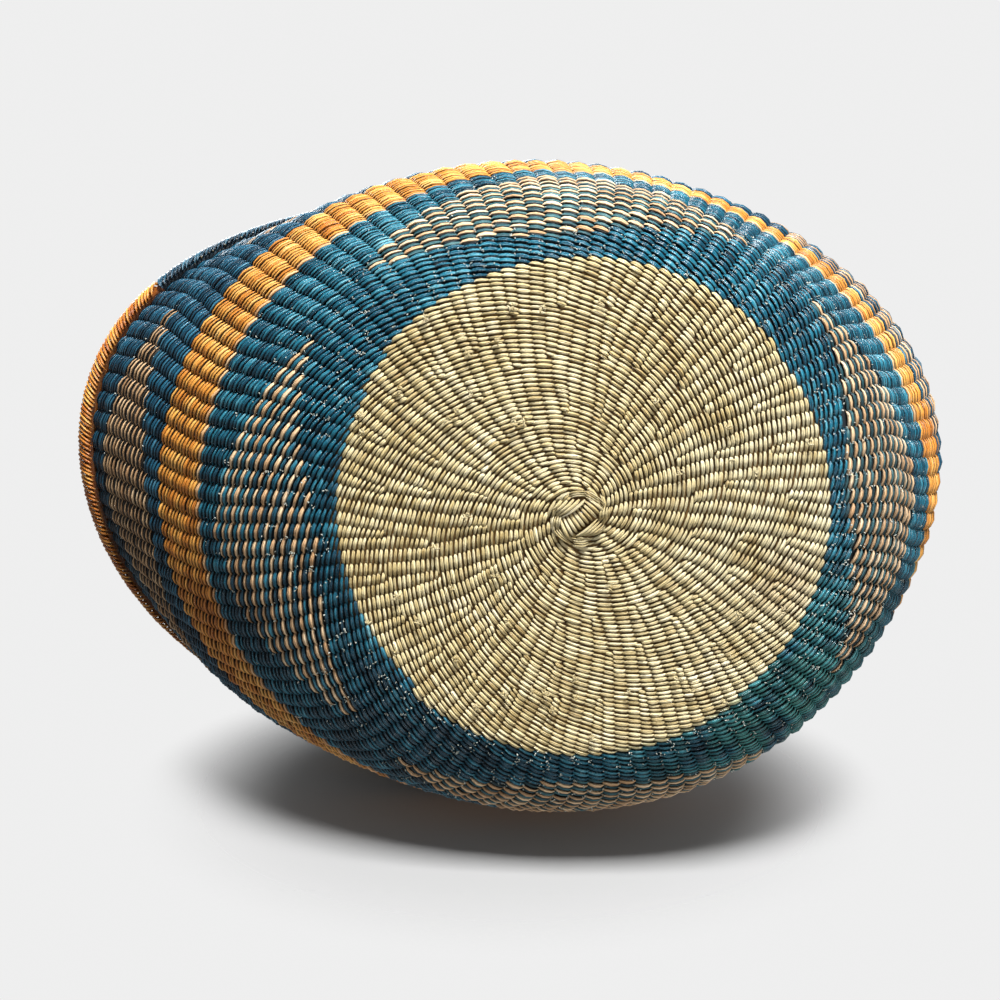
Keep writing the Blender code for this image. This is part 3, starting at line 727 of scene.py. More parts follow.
def diamond_width(row, side, diamonds):
    """How far a diamond reaches to each side at a row, in degrees. Its sides bulge a little."""
    low, high = diamonds[side]
    share = (row - low) / (high - low) * 2 - 1
    bulge = FOOT_BULGE if share < 0 else HEAD_BULGE
    return DIAMOND_REACH[side] * max(0, 1 - abs(share)) ** (1 / bulge)


def in_diamond(row, angles, side, diamonds):
    """Which ribs of a row lie in a diamond."""
    return apart(angles, DIAMOND_ANGLES[side]) < diamond_width(row, side, diamonds)


def undyed(row, angles):
    return plain


def band(name, rows, between, material, replaced, diamonds=None, dye=undyed):
    """A band of the wall over the angles where between(row, angles) is true, without diamonds."""
    strands = Strands()
    for row in range(*rows):
        woven = wall_twine(row + 0.5)
        angles = woven["angles"]
        inside = between(row + 0.5, angles % 360)
        if diamonds:
            for side in DIAMOND_ANGLES:
                inside &= ~in_diamond(row + 0.5, angles, side, diamonds)
        strands.take(woven, inside, dye(row, angles % 360))
    strand_piece(name, strands, material, "basket", replaced)


def below_orange(row, angles):
    return row < np.interp(angles, EDGE_ANGLES, ORANGE_FOOT)


def above_orange(row, angles):
    return row > np.interp(angles, EDGE_ANGLES, ORANGE_HEAD)


def in_orange(row, angles):
    return ~below_orange(row, angles) & ~above_orange(row, angles)


def inlay(name, strands, material):
    strand_piece(name, strands, material, "basket", [name.replace("inlay", "diamond")])


def checked_diamond(side):
    """A lower diamond in which one of the two strands of every row is tan."""
    strands = Strands()
    for row in range(*LOWER_DIAMONDS[side]):
        woven = wall_twine(row + 0.5, swell=TAN_SWELL)
        dye = plain.copy()
        dye[row % 2] = 1
        strands.take(woven, in_diamond(row + 0.5, woven["angles"], side, LOWER_DIAMONDS), dye)
    inlay("lower_inlay_" + side, strands, tan_on_blue)


def lined_diamond(name, side, diamonds, material, fine):
    """A diamond of rows that are tan and dark in turn."""
    strands = Strands()
    low, high = diamonds[side]
    for index in range(int((high - low) / fine)):
        row, tan = low + (index + 0.5) * fine, index % 2
        woven = wall_twine(row, fine, TAN_SWELL if tan else DARK_SWELL)
        strands.take(woven, in_diamond(row, woven["angles"], side, diamonds), plain + tan)
    inlay(name, strands, material)


def first_row(row, angles):
    """The first blue row is still plain grass at the front and the back."""
    return plain if row > 0 else sum(dyed_where(angles, *part) for part in PLAIN_START)


blue_grass = grass("blue grass", BLUE, NATURAL, gloss=0.27, light_at_crossing=0.05, shade_at_edges=0.85,
                   tints=[TEAL_PATCH])
for name, low, high in (("lower_blue_foot", 0, 13), ("lower_blue_belly", 13, 32)):
    band(name, (low, high), below_orange, blue_grass, ["lower_blue_weave"],
         LOWER_DIAMONDS, first_row)
WORN = ((0.02, -0.15, 0.03), 0.1, (236, 222, 196), 0.15)
SHADED = ((0.0, 0.16, 0.05), 0.12, (66, 62, 54), 0.35)
tan_and_blue = grass("tan and blue grass", TEAL, TAN, gloss=0.38, light_at_crossing=0.1, tints=[WORN, SHADED])
tan_on_blue = grass("tan on blue grass", BLUE, TAN, gloss=0.34, light_at_crossing=0.05, shade_at_edges=0.85)
checked_diamond("left")
for side, fine in (("right", 0.9), ("back", 1.0), ("front", 1.0)):
    lined_diamond("lower_inlay_" + side, side, LOWER_DIAMONDS, tan_and_blue, fine)


# The orange band round the belly, with a paler row along its lower edge.
ORANGE = ((150, 70, 10), (234, 146, 48), (246, 184, 88), (250, 214, 146))
PEACH = ((190, 112, 60), (238, 176, 116), (246, 204, 150), (254, 234, 202))
ORANGE_START = 29


def pale_start(row, angles):
    return plain + (row == ORANGE_START)


orange_grass = grass("orange grass", ORANGE, PEACH, gloss=0.38)
for name, low, high in (("orange_foot", ORANGE_START, 36), ("orange_top", 36, 42)):
    band(name, (low, high), in_orange, orange_grass, ["orange_band"],
         dye=pale_start)


# The upper wall: dark blue grass with four diamonds of fine tan rows. Low on the right tan rows
# lie between the blue ones.
DARK_BLUE = ((0, 20, 32), (8, 62, 86), (28, 106, 136), (136, 194, 214))
NEAR_BLACK = ((4, 3, 2), (14, 12, 9), (30, 28, 24), (84, 80, 70))
PALE_TAN = ((130, 84, 46), (204, 156, 108), (236, 198, 150), (252, 236, 206))
TAN_ROWS = (61, 23)
# Painted shade: the dark blue grass on the left is tinted darker still.
PAINTED_SHADE_LEFT = ((-0.02, -0.27, 0.13), 0.12, (2, 14, 22), 0.7)


def tan_rows(row, angles):
    below = row < UPPER_DIAMONDS["right"][0]
    return dyed_where(angles, *TAN_ROWS) if below and row % 2 == 0 else plain


dark_blue_grass = grass("dark blue grass", DARK_BLUE, PALE_TAN, gloss=0.3, light_at_crossing=0.04,
                        shade_at_edges=0.92, tints=[PAINTED_SHADE_LEFT])
for name, low, high in (("upper_blue_foot", 34, 56), ("upper_blue_mouth", 56, 70)):
    band(name, (low, high), above_orange, dark_blue_grass, ["upper_blue_weave"],
         UPPER_DIAMONDS, tan_rows)
tan_and_black = grass("tan and black grass", NEAR_BLACK, PALE_TAN, gloss=0.4)
for side in DIAMOND_ANGLES:
    lined_diamond("upper_inlay_" + side, side, UPPER_DIAMONDS, tan_and_black,
                  fine=0.75)


# Ends of strands, cut off short where one was joined in or a colour stops. They stick out as pale
# specks, most of all along the diamonds and in the blue grass next to the base; their near-white
# colour is partly painted highlight, standing for glints on glossy strands.
END_LENGTH = 0.0006
END_DEPTH = 0.0008
END_AND_GLINT_COLORS = ((170, 176, 160), (222, 228, 214), (244, 246, 236), (254, 254, 250))
BLUE_ENDS = 900
BLUE_END_SPREAD = 9
BLUE_END_LAST = 28
EDGE_ENDS = 0.9
strands = Strands()


def cut_end(row, angle, girth, shade):
    """A short stub that comes out of the outer face."""
    face, run = outwards(row, angle), along_row(row, angle)
    lean = run * chance.uniform(-1, 1) + np.cross(face, run) * chance.uniform(-1, 1)
    out = unit(face * 0.55 + lean)
    foot = in_wall(row, angle, chance.uniform(0, END_DEPTH))
    points = np.array([foot - out * END_LENGTH * 0.5, foot,
                       foot + out * END_LENGTH * chance.uniform(0.5, 1)])
    strands.add(points, np.cross(out, run), girth, 0, shade)


def between_ribs(row, angle):
    """Somewhere near the middle between two ribs."""
    angles = rib_angles(row)
    nearest = np.argmin(apart(angles, angle))
    after = angles[(nearest + 1) % len(angles)] + (360 if nearest + 1 == len(angles) else 0)
    return angles[nearest] + (after - angles[nearest]) * chance.uniform(0.25, 0.75)


for _ in range(BLUE_ENDS):
    row = min(chance.exponential(BLUE_END_SPREAD) + 1, BLUE_END_LAST)
    angle = between_ribs(row, chance.uniform(0, 360))
    for _ in range(chance.integers(1, 4)):
        cut_end(row + chance.uniform(-0.6, 0.6), angle + chance.uniform(-0.5, 0.5),
                chance.uniform(0.00014, 0.0003), chance.uniform())
for diamonds in (LOWER_DIAMONDS, UPPER_DIAMONDS):
    for side, middle in DIAMOND_ANGLES.items():
        low, high = diamonds[side]
        for row in np.arange(low + 1, high - 0.5, 0.7):
            away = diamond_width(row, side, diamonds)
            for edge in (-1, 1):
                if chance.uniform() < EDGE_ENDS:
                    angle = middle + edge * (away + chance.uniform(-1.5, 2.5))
                    cut_end(row, angle, chance.uniform(0.0002, 0.0004), chance.uniform())
end_and_glint_grass = grass("cut ends and glints", END_AND_GLINT_COLORS, gloss=0.4)
strand_piece("cut_ends", strands, end_and_glint_grass, "basket", sides=5, flatness=0.9)


# Joins in the base: small tangles where a new strand of plain grass was tucked in beside an old
# one.
JOINS = 46
JOIN_REACH = 0.0018
JOIN_STRAND = 0.00042
strands = Strands()
share = np.linspace(-1, 1, 7)
swell = 1 - share ** 2
for _ in range(JOINS):
    row, angle = -BASE_ROWS * (1 - chance.uniform(0.1, 1) ** 0.5), chance.uniform(0, 360)
    middle = outer_face(row, angle)
    for _ in range(chance.integers(4, 8)):
        turn, bend = chance.uniform(0, math.tau), chance.uniform(-1.2, 1.2)
        spot = middle + np.array((*chance.uniform(-1, 1, 2), 0)) * JOIN_REACH * 0.6
        aim = turn + bend * share
        line = np.stack((np.cos(aim) * share, np.sin(aim) * share, 0 * share), -1)
        points = spot + line * JOIN_REACH * chance.uniform(0.5, 1)
        points[:, 2] = -0.0005 - 0.0007 * swell * chance.uniform(0.4, 1)
        girth = JOIN_STRAND * (0.4 + 0.6 * swell) * chance.uniform(0.7, 1.2)
        strands.add(points, DOWN, girth, 0, chance.uniform(), 0.7)
strand_piece("base_joins", strands, natural_grass, "basket", sides=5)


# The rim: a hoop over the top row, bound with grass in a zigzag, rust and dark blue in turn.
RIM_RADIUS = 0.0045
RIM_GAP = 0.0003
RIM_CORE = 0.0032
RIM_PITCH = 0.0023
RIM_STRAND = 0.00098
RIM_LEAN = 0.0042
RIM_SKIRT = (1.65, 2.1)
RIM_SPREAD = (0.95, 1.75)
LOOP_BERTH = (10, 15)
RIM_CORES = ((90.0, 0.1), (0.0, 0.45), (180.0, 0.45), (-70.0, 0.6), (250.0, 0.6))
RIM_CHANGES = (("right", 40.5, 131.25), ("back", 131.25, 220.75), ("left", 220.75, 310),
               ("front", 310, 400.5))
RUST = ((122, 50, 10), (222, 124, 34), (250, 180, 78), (255, 234, 172))
RIM_BLUE = ((2, 16, 28), (12, 50, 72), (34, 96, 122), (150, 188, 196))
CORE_STEPS = 90
WRAP_MIDDLE = 76
WRAP_SWEEP = 96
WRAP_UNEVEN = 7
WRAP_SHIFT = 0.0002
TIP_START = -0.8
rim_angles = np.linspace(0, 720, 2881)


def rim_frame(angle):
    """The rim's middle line over the top row, and its outward and upward directions."""
    side = outwards(WALL_ROWS, angle)
    climb = unit(np.cross(side, along_row(WALL_ROWS, angle)))
    return in_wall(WALL_ROWS, angle, MIDDLE_DEPTH) + climb * (RIM_RADIUS + RIM_GAP), side, climb


rim_fields = rim_frame(rim_angles)
rim_length = lengths_along(rim_fields[0])


def at_length(place, length, field):
    """A direction or point of a line at a place along its length."""
    return np.stack([np.interp(place, length, field[:, axis]) for axis in range(3)], -1)


def on_rim(length, turn, radius):
    """Points at lengths along the rim and angles round it, 0 outside and 90 on top. Below the
    middle they lie flat on the wall. The binding is thinner next to the handle's loops."""
    angle = np.interp(length, rim_length, rim_angles)
    away = np.min([apart(angle, hole) for hole in HOLE_ANGLES], axis=0)[:, None]
    spread = np.interp(away, LOOP_BERTH, RIM_SPREAD)
    line, side, climb = [at_length(length, rim_length, field) for field in rim_fields]
    turn = np.radians(np.broadcast_to(turn, len(length)))[:, None]
    cosine, sine = np.cos(turn), np.sin(turn)
    below = sine < 0
    flat = np.where(below, np.sign(cosine) * np.abs(cosine) ** 0.15 * spread, cosine)
    skirt = np.interp(away, LOOP_BERTH, RIM_SKIRT)
    around = side * flat + climb * np.where(below, sine * skirt, sine)
    around = around * np.where(below, 1, 1 + (spread - 1) * np.abs(cosine) ** 2)
    return line + around * radius, unit(side * flat + climb * np.maximum(sine, 0))


rust_grass = grass("rust grass", RUST, NATURAL, gloss=0.38)
rim_blue_grass = grass("rim blue grass", RIM_BLUE, NATURAL, gloss=0.36, light_at_crossing=0.1)
share = np.linspace(-1, 1, 9)
swell = 1 - share ** 2
for side, start, end in RIM_CHANGES:
    strands = Strands()
    low, high = np.interp((start, end), rim_angles, rim_length)
    for turn, away in RIM_CORES:
        points, facing = on_rim(np.linspace(low, high, CORE_STEPS), turn, away * RIM_CORE)
        # A low front darkens the core's colour: painted shade where it shows between the wraps.
        strands.add(points, facing, RIM_CORE, front=0.15)
    for index in range(int((high - low) / RIM_PITCH)):
        for family, ahead in ((1, 0.5), (-1, 0)):
            middle = low + (index + 0.25 + ahead) * RIM_PITCH
            uneven = chance.uniform(-WRAP_UNEVEN, WRAP_UNEVEN)
            turn = 90 - family * (WRAP_MIDDLE - WRAP_SWEEP * share) + uneven
            length = middle + RIM_LEAN * share + chance.uniform(-WRAP_SHIFT, WRAP_SHIFT)
            radius = RIM_CORE + RIM_STRAND * (0.55 + 0.5 * swell)
            points, facing = on_rim(np.clip(length, low, high), turn, radius[:, None])
            pale = np.where(share < TIP_START, chance.uniform(0.2, 0.6), 0.0)
            girth = RIM_STRAND * (0.55 + 0.55 * swell) * chance.uniform(0.85, 1.15)
            # The front falls towards each wrap's ends, which darkens them: painted shade where they
            # go under.
            strands.add(points, facing, girth, pale, chance.uniform(), 0.25 + 0.75 * swell)
    rust = side in ("right", "left")
    replaced = ["rim_binding_" + side] + (["rim_core"] if side == "front" else [])
    strand_piece("rim_wraps_" + side, strands, rust_grass if rust else rim_blue_grass, "basket",
                 replaced, sides=5, flatness=0.85)


# The handle, which the photograph doesn't show: an arch of grass in a sewn leather sleeve. It
# swings on a line between two holes of the wall, and is modelled in a frame along that line.
HANDLE_RISE = 0.190
HANDLE_RADIUS = 0.0105
LEATHER_THICKNESS = 0.0015
COLLAR_FOOT = 0.058
LOOP_TUCK = 0.014
SLEEVE_TUCK = 0.022
ARCH_STEPS = 72
HANDLE_STALKS = 8
STALK_REACH = 0.0056
STALK_GIRTH = 0.0024
SLEEVE_LUMPS = 0.02
hole_front, hole_back = hole_middles
hinge_middle = (hole_front + hole_back) / 2
half_span = np.linalg.norm(hole_front - hole_back) / 2
hinge_axis = unit(hole_front - hole_back)
hinge_up = unit(np.array((0, 0, 1)) - hinge_axis * hinge_axis[2])
hinge_frame = np.array((hinge_axis, np.cross(hinge_up, hinge_axis), hinge_up))
SQUARE = np.array((0.0, 1.0, 0.0))


def from_hinge(points):
    return hinge_middle + np.asarray(points) @ hinge_frame


def rim_in_hinge(angle):
    """A point of the rim's middle line in the handle's frame."""
    return hinge_frame @ (rim_frame(angle)[0] - hinge_middle)


def rim_over_hole(angle):
    """Where the rim crosses the handle's plane, in the handle's frame."""
    for _ in range(5):
        here, after = rim_in_hinge(angle), rim_in_hinge(angle + 1)
        angle -= here[1] / (after[1] - here[1])
    return rim_in_hinge(angle)


rim_over = {1: rim_over_hole(HOLE_ANGLES[0]), -1: rim_over_hole(HOLE_ANGLES[1])}
leg_at = (rim_over[1][0] - rim_over[-1][0]) / 2


def arch_route():
    """The handle's middle line in its frame: upright legs and half an oval over them."""
    foot, spring = COLLAR_FOOT + LOOP_TUCK + RIM_GAP, COLLAR_FOOT + LOOP_TUCK + SLEEVE_TUCK
    angle = np.pi * np.arange(ARCH_STEPS + 1) / ARCH_STEPS
    rise = spring + (HANDLE_RISE - spring) * np.sin(angle)
    arch = np.stack((-leg_at * np.cos(angle), 0 * angle, rise), -1)
    legs = np.linspace(foot, spring, 6)[:-1]
    left = np.stack((np.full(5, -leg_at), np.zeros(5), legs), -1)
    right = np.stack((np.full(5, leg_at), np.zeros(5), legs[::-1]), -1)
    return np.vstack((left, arch, right))


def directions(route):
    """The direction of a route in the handle's plane, and the one square to it in that plane."""
    along = unit(np.gradient(route, axis=0))
    return along, np.cross(along, SQUARE)


def add_line(strands, points, facing, girth, shade):
    """Adds a strand given in the handle's frame."""
    strands.add(from_hinge(points), facing @ hinge_frame, girth, 0, shade)


def leather(name, colors, gloss):
    """Goat leather, rubbed paler where it stands proud, with fine pores and creases."""
    material = bpy.data.materials.new(name)
    tree = emptied(material)
    place = tree.place()
    wear, pores = tree.noise(place, 45.0, 6.0, 0.65), tree.noise(place, 1600.0, 2.0)
    crease = tree.node("ShaderNodeTexVoronoi", {"feature": "DISTANCE_TO_EDGE"},
                       {"Vector": place, "Scale": 520.0})
    # Painted shade: the colour is darkened along the creases.
    grain = crease.between(0.0, 0.12)
    color = tree.ramp(wear + (pores - 0.5) * 0.25, (0.3, 0.48, 0.62, 0.78), colors)
    tree.surface(tree.dimmed(color, 0.55 + 0.45 * grain), gloss + (wear - 0.5) * 0.3,
                 grain + 0.5 * pores + 1.5 * wear, 0.6, 0.0004, 0.25)
    return material


BROWN = ((58, 30, 16), (98, 58, 34), (128, 82, 50), (176, 128, 88))
DARK_BROWN = ((26, 16, 10), (48, 30, 20), (72, 48, 32), (120, 88, 62))
brown_leather = leather("brown leather", BROWN, 0.62)
dark_leather = leather("dark leather", DARK_BROWN, 0.6)
arch = arch_route()
along, inwards = directions(arch)
strands = Strands()
for index in range(HANDLE_STALKS + 1):
    turn = math.tau * index / HANDLE_STALKS
    reach = 0 if index == HANDLE_STALKS else STALK_REACH
    offset = inwards * math.cos(turn) * reach + SQUARE * math.sin(turn) * reach
    add_line(strands, arch + offset, inwards, STALK_GIRTH, chance.uniform())
strand_piece("handle_stalks", strands, natural_grass, "handle", ["handle_core"],
             flatness=1.0)
strands = Strands()
station = np.arange(len(arch))
lumps = 1 + SLEEVE_LUMPS * np.sin(station * 1.7) * np.sin(station * 0.61)
add_line(strands, arch, inwards, HANDLE_RADIUS * lumps, 0.5)
strand_piece("handle_sleeve", strands, brown_leather, "handle",
             ["handle_leather"], 28, 1.0)

SEAM_WIDTH = 0.0026
SEAM_PROUD = 0.0001
SEAM_START = 0.034
SEAM_STITCH = 0.0052
STITCH_RADIUS = 0.00045
STITCH_TURN = 19
STITCH_PROUD = 0.0009
STITCH_SLIP = 0.0012
LACE = ((92, 72, 44), (164, 136, 92), (196, 170, 124), (226, 206, 166))
strands = Strands()
seam = arch + inwards * (HANDLE_RADIUS + SEAM_PROUD)
inside_arch = slice(6, -6)
add_line(strands, seam[inside_arch], inwards[inside_arch], SEAM_WIDTH, 0.4)
strand_piece("sleeve_seam", strands, brown_leather, "handle", sides=8,
             flatness=0.28)
strands = Strands()
arch_length = lengths_along(arch)
turn = np.radians(np.linspace(-STITCH_TURN, STITCH_TURN, 7))
proud = HANDLE_RADIUS + STITCH_PROUD * np.cos(np.linspace(-1.4, 1.4, 7))[:, None]
for length in np.arange(SEAM_START, arch_length[-1] - SEAM_START, SEAM_STITCH):
    middle, out, run = [at_length(length, arch_length, field) for field in (arch, inwards, along)]
    ring = np.cos(turn)[:, None] * out + np.sin(turn)[:, None] * SQUARE
    slip = np.linspace(-STITCH_SLIP, STITCH_SLIP, 7)[:, None] * run
    add_line(strands, middle + ring * proud + slip, ring, STITCH_RADIUS, chance.uniform())
lace = grass("waxed lace", LACE, gloss=0.5)
strand_piece("sleeve_stitches", strands, lace, "handle", sides=6, flatness=0.9)


# The two loops that hang in the holes of the wall: cord bound tightly with a dark leather strip,
# led down outside the rim, in through the wall and up again inside.
LOOP_RADIUS = 0.004
EYE_HEIGHT = 0.032
OUTER_CLEARANCE = 0.0015
SWING_CLEARANCE = 0.0045
STRIP_PITCH = 0.0038
LOOP_CORE = 0.0033
STRIP_PROUD = 0.0002
STRIP_STEPS = 14
SPAN_STEPS = 12


def loop_route(side):
    """A loop's middle line: from one collar leg over the rim, through the hole and up again."""
    spread = LOOP_RADIUS + RIM_GAP
    rim_x, rim_z = side * rim_over[side][0], rim_over[side][2]
    outside = rim_x + RIM_RADIUS + OUTER_CLEARANCE + LOOP_RADIUS
    inside = rim_x - RIM_RADIUS - SWING_CLEARANCE - LOOP_RADIUS
    beside_wall = half_span + WALL_THICKNESS / 2 + OUTER_CLEARANCE + LOOP_RADIUS
    rim_top, low, sag = rim_z + RIM_RADIUS, 2 * LOOP_RADIUS, LOOP_RADIUS / 4
    tuck = COLLAR_FOOT + LOOP_TUCK
    corners = ((leg_at + spread, tuck), (leg_at + spread, COLLAR_FOOT), (outside, EYE_HEIGHT),
               (outside, rim_top), (beside_wall, low), (half_span + LOOP_RADIUS, sag),
               (half_span - low, sag), (inside, low), (inside, rim_top), (inside, EYE_HEIGHT),
               (leg_at - spread, COLLAR_FOOT), (leg_at - spread, tuck))
    return smooth_route(np.array([(side * x, 0, z) for x, z in corners]))


def smooth_route(points):
    """Points along a smooth curve through the given ones, with slopes weighted by their spacing."""
    spans = np.diff(points, axis=0)
    lengths = np.linalg.norm(spans, axis=1)
    lines = unit(spans)
    slopes = [lines[0]]
    for index in range(1, len(spans)):
        weight = lengths[index - 1] / (lengths[index - 1] + lengths[index])
        slopes.append(lines[index - 1] * (1 - weight) + lines[index] * weight)
    slopes.append(lines[-1])
    route = []
    for index, length in enumerate(lengths):
        for share in np.arange(SPAN_STEPS) / SPAN_STEPS:
            rest = 1 - share
            route.append(points[index] * (1 + 2 * share) * rest * rest
                         + slopes[index] * length * share * rest * rest
                         + points[index + 1] * (3 - 2 * share) * share * share
                         - slopes[index + 1] * length * share * share * rest)
    route.append(points[-1])
    return np.array(route)


for side, end in ((1, "front"), (-1, "back")):
    route = loop_route(side)
    _, square = directions(route)
    length = lengths_along(route)
    strands = Strands()
    add_line(strands, route, square, LOOP_CORE, 0.2)
    steps = np.arange(0, length[-1], STRIP_PITCH / STRIP_STEPS)
    middle, flat = [at_length(steps, length, field) for field in (route, square)]
    turn = math.tau * steps[:, None] / STRIP_PITCH
    ring = unit(flat) * np.cos(turn) + SQUARE * np.sin(turn)
    add_line(strands, middle + ring * (LOOP_CORE + STRIP_PROUD), ring, STRIP_PITCH * 0.5, 0.6)
    strand_piece("bound_loop_" + end, strands, dark_leather, "handle",
                 ["handle_loop_" + end], sides=8, flatness=0.26)


# The two collars: leather wrapped round the foot of the arch and the two legs of a loop, laced up
# on the outside and lashed with a twisted cord.
SHOULDER_LENGTH = 0.008
SECTION_SIDES = 36
LASHING_RADIUS = 0.0011
LASHING_PITCH = 0.0029
LASHING_TURNS = 4
PLY_RADIUS = 0.00062
PLY_REACH = 0.0005
PLY_TURNS = 22
LACE_START = 0.0035
LACE_PITCH = 0.0022
LACE_TURN = 24
LACE_PROUD = 0.0004
LACE_SLIP = 0.0006
LACINGS = 6
ROUNDED_EDGE = 0.0005


def collar_mesh(center):
    """A closed shell: flat round the loop's legs, widening to round over the sleeve."""
    leg_bore, sleeve_bore = LOOP_RADIUS + RIM_GAP, HANDLE_RADIUS + RIM_GAP
    shoulder = COLLAR_FOOT + LOOP_TUCK
    top = shoulder + SLEEVE_TUCK
    stations = []
    for height in (*np.linspace(COLLAR_FOOT, shoulder - SHOULDER_LENGTH, 4),
                   *np.linspace(shoulder - SHOULDER_LENGTH, shoulder, 7)[1:],
                   *np.linspace(shoulder, top, 9)[1:]):
        share = min(1, max(0, (height - shoulder + SHOULDER_LENGTH) / SHOULDER_LENGTH))
        share = share * share * (3 - 2 * share)
        radius = leg_bore + (sleeve_bore - leg_bore) * share
        stations.append((height, leg_bore * (1 - share), radius))
    angle = math.tau * (np.arange(SECTION_SIDES) + 0.5) / SECTION_SIDES
    rings = []
    for thick, line in ((LEATHER_THICKNESS, stations), (0, stations[::-1])):
        for height, flat, radius in line:
            rounded = ROUNDED_EDGE if thick and height in (COLLAR_FOOT, top) else 0
            radius = radius + thick - rounded
            across = center + np.copysign(flat, np.cos(angle)) + radius * np.cos(angle)
            level = np.full(SECTION_SIDES, height)
            rings.append(np.stack((across, radius * np.sin(angle), level), -1))
    polygons = []
    for ring in range(len(rings)):
        first, second = ring * SECTION_SIDES, (ring + 1) % len(rings) * SECTION_SIDES
        for k in range(SECTION_SIDES):
            after = (k + 1) % SECTION_SIDES
            polygons.append((first + k, first + after, second + after, second + k))
    mesh = bpy.data.meshes.new("collar")
    mesh.from_pydata(from_hinge(np.vstack(rings)), [], polygons)
    mesh.shade_smooth()
    mesh.set_sharp_from_angle(angle=math.radians(50))
    mesh.materials.append(brown_leather)
    return mesh


for side, end in ((1, "front"), (-1, "back")):
    center = side * leg_at
    piece("leather_collar_" + end, collar_mesh(center), "handle",
          ["collar_" + end])
    strands = Strands()
    turn = np.radians(np.linspace(-LACE_TURN, LACE_TURN, 7))
    ring = np.stack((side * np.cos(turn), np.sin(turn), 0 * turn), -1)
    radius = LOOP_RADIUS + RIM_GAP + LEATHER_THICKNESS + LACE_PROUD
    for index in range(LACINGS):
        height = COLLAR_FOOT + LACE_START + index * LACE_PITCH
        points = np.array((center + side * (LOOP_RADIUS + RIM_GAP), 0, height)) + ring * radius
        points[:, 2] += np.linspace(-LACE_SLIP, LACE_SLIP, 7)
        add_line(strands, points, ring, STITCH_RADIUS, chance.uniform())
    strand_piece("collar_lace_" + end, strands, lace, "handle", sides=6,
                 flatness=0.9)
    strands = Strands()
    radius = HANDLE_RADIUS + LEATHER_THICKNESS + 2 * RIM_GAP + LASHING_RADIUS
    foot = COLLAR_FOOT + LOOP_TUCK + (SLEEVE_TUCK - LASHING_PITCH * LASHING_TURNS) / 2
    turns = np.linspace(0, LASHING_TURNS, LASHING_TURNS * 64 + 1)
    angle = math.tau * turns
    ring = np.stack((np.cos(angle), np.sin(angle), 0 * angle), -1)
    middle = np.array((center, 0, foot)) + ring * radius + np.outer(turns, (0, 0, LASHING_PITCH))
    for ply in (0, 0.5):
        twist = math.tau * (turns * PLY_TURNS + ply)
        offset = ring * np.cos(twist)[:, None] + np.outer(np.sin(twist), (0, 0, 1))
        add_line(strands, middle + offset * PLY_REACH, offset, PLY_RADIUS, 0.3 + ply)
    strand_piece("lashing_cord_" + end, strands, dark_leather, "handle",
                 ["lashing_" + end], sides=6, flatness=1.0)


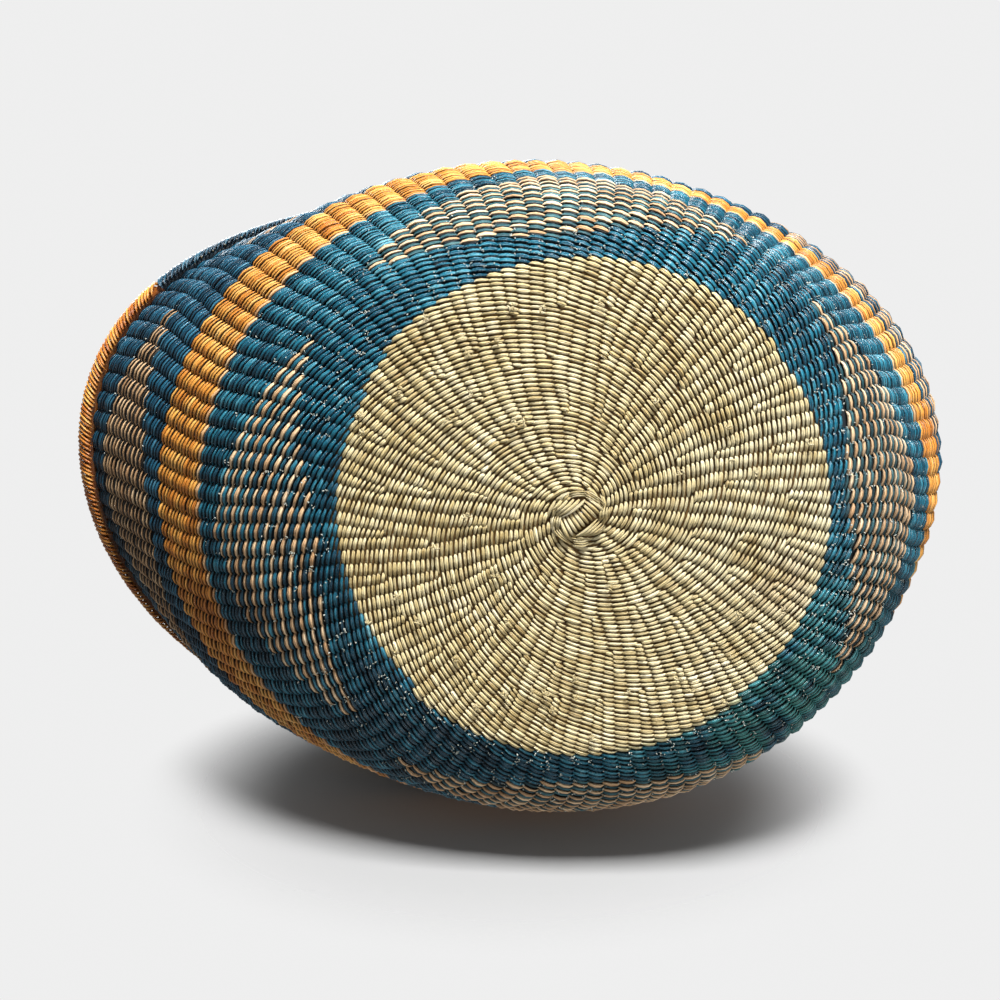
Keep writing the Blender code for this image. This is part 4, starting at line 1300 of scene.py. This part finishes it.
# Plain pale floors: one under the standing basket, seen only from above, and a patch of the one
# that it lies on in the photograph, seen only from the camera's side. Plain light from above.
def stage_plane(name, corners, albedo, middle, *spans):
    """A plane that shows only its front, and fades out beyond its spans."""
    mesh = bpy.data.meshes.new(name)
    mesh.from_pydata(corners, [], [(0, 1, 2, 3)])
    made = bpy.data.objects.new(name, mesh)
    scene.collection.objects.link(made)
    finish = bpy.data.materials.new(name)
    tree = emptied(finish)
    hidden = tree.node("ShaderNodeNewGeometry", None, None, "Backfacing")
    offset = tree.node("ShaderNodeVectorMath", {"operation": "SUBTRACT"},
                       {0: tree.place(), 1: middle}, "Vector")
    parts = [tree.node("ShaderNodeVectorMath", {"operation": "DOT_PRODUCT"},
                       {0: offset, 1: span}, "Value") for span in spans]
    away = parts[0] * parts[0] + parts[1] * parts[1]
    hidden = hidden.math("MAXIMUM", hidden, away.between(0.3, 1.0))
    surface = tree.node("ShaderNodeMixShader", None, {
        0: hidden, 1: tree.node("ShaderNodeBsdfDiffuse", None, {0: (*(3 * [albedo]), 1)}),
        2: tree.node("ShaderNodeBsdfTransparent")})
    tree.node("ShaderNodeOutputMaterial", None, {"Surface": surface})
    mesh.materials.append(finish)
    made.visible_diffuse = False
    made.visible_glossy = False
    made.visible_shadow = False


stage_plane("floor", [(-4, -4, 0), (4, -4, 0), (4, 4, 0), (-4, 4, 0)], 0.75,
            (0, 0, 0), (0.8, 0, 0), (0, 0.8, 0))
floor_up = Vector((0.979, 0.0075, -0.203)).normalized()
contact = Vector((-0.155, -0.063, 0.111))
floor_right = Vector((0, 1, 0)).cross(floor_up).cross(floor_up).normalized() * -1
floor_near = floor_right.cross(floor_up)
if floor_near.z > 0:
    floor_near.negate()
shadow_middle = contact + floor_near * 0.03 + floor_right * 0.03
corners = [contact + floor_right * a + floor_near * b
           for a, b in ((-0.4, -0.1), (0.4, -0.1), (0.4, 0.2), (-0.4, 0.2))]
if (corners[1] - corners[0]).cross(corners[3] - corners[0]).dot(floor_up) < 0:
    corners.reverse()
stage_plane("lying floor", corners, 0.3, shadow_middle, floor_right / 0.2, floor_near / 0.13)

world = bpy.data.worlds.new("studio")
scene.world = world
tree = emptied(world)
seen = tree.node("ShaderNodeLightPath", None, None, "Is Camera Ray")
strength = tree.node("ShaderNodeMapRange", None, {0: seen, 3: 0.26, 4: 0.86})
glow = tree.node("ShaderNodeBackground", None, {"Color": (1, 1, 1, 1), "Strength": strength})
tree.node("ShaderNodeOutputWorld", None, {"Surface": glow})


def lamp(name, direction, distance, size, power):
    data = bpy.data.lights.new(name, "AREA")
    data.size = size
    data.energy = power
    made = bpy.data.objects.new(name, data)
    direction = Vector(direction).normalized()
    made.matrix_world = Matrix.Translation(Vector((0, 0, 0.08)) + direction * distance) @ \
        direction.to_track_quat("Z", "Y").to_matrix().to_4x4()
    scene.collection.objects.link(made)


lamp("window", view_up * 1.0 - view_ahead * 0.62 + view_right * 0.12, 1.6, 0.4, 72)
lamp("ceiling", (0.3, -0.2, 1), 1.6, 1.2, 40)
lamp("fill", view_right * 1.1 - view_ahead * 1.2 - view_up * 0.5, 1.7, 1.0, 11)

scene.view_settings.view_transform = "Standard"
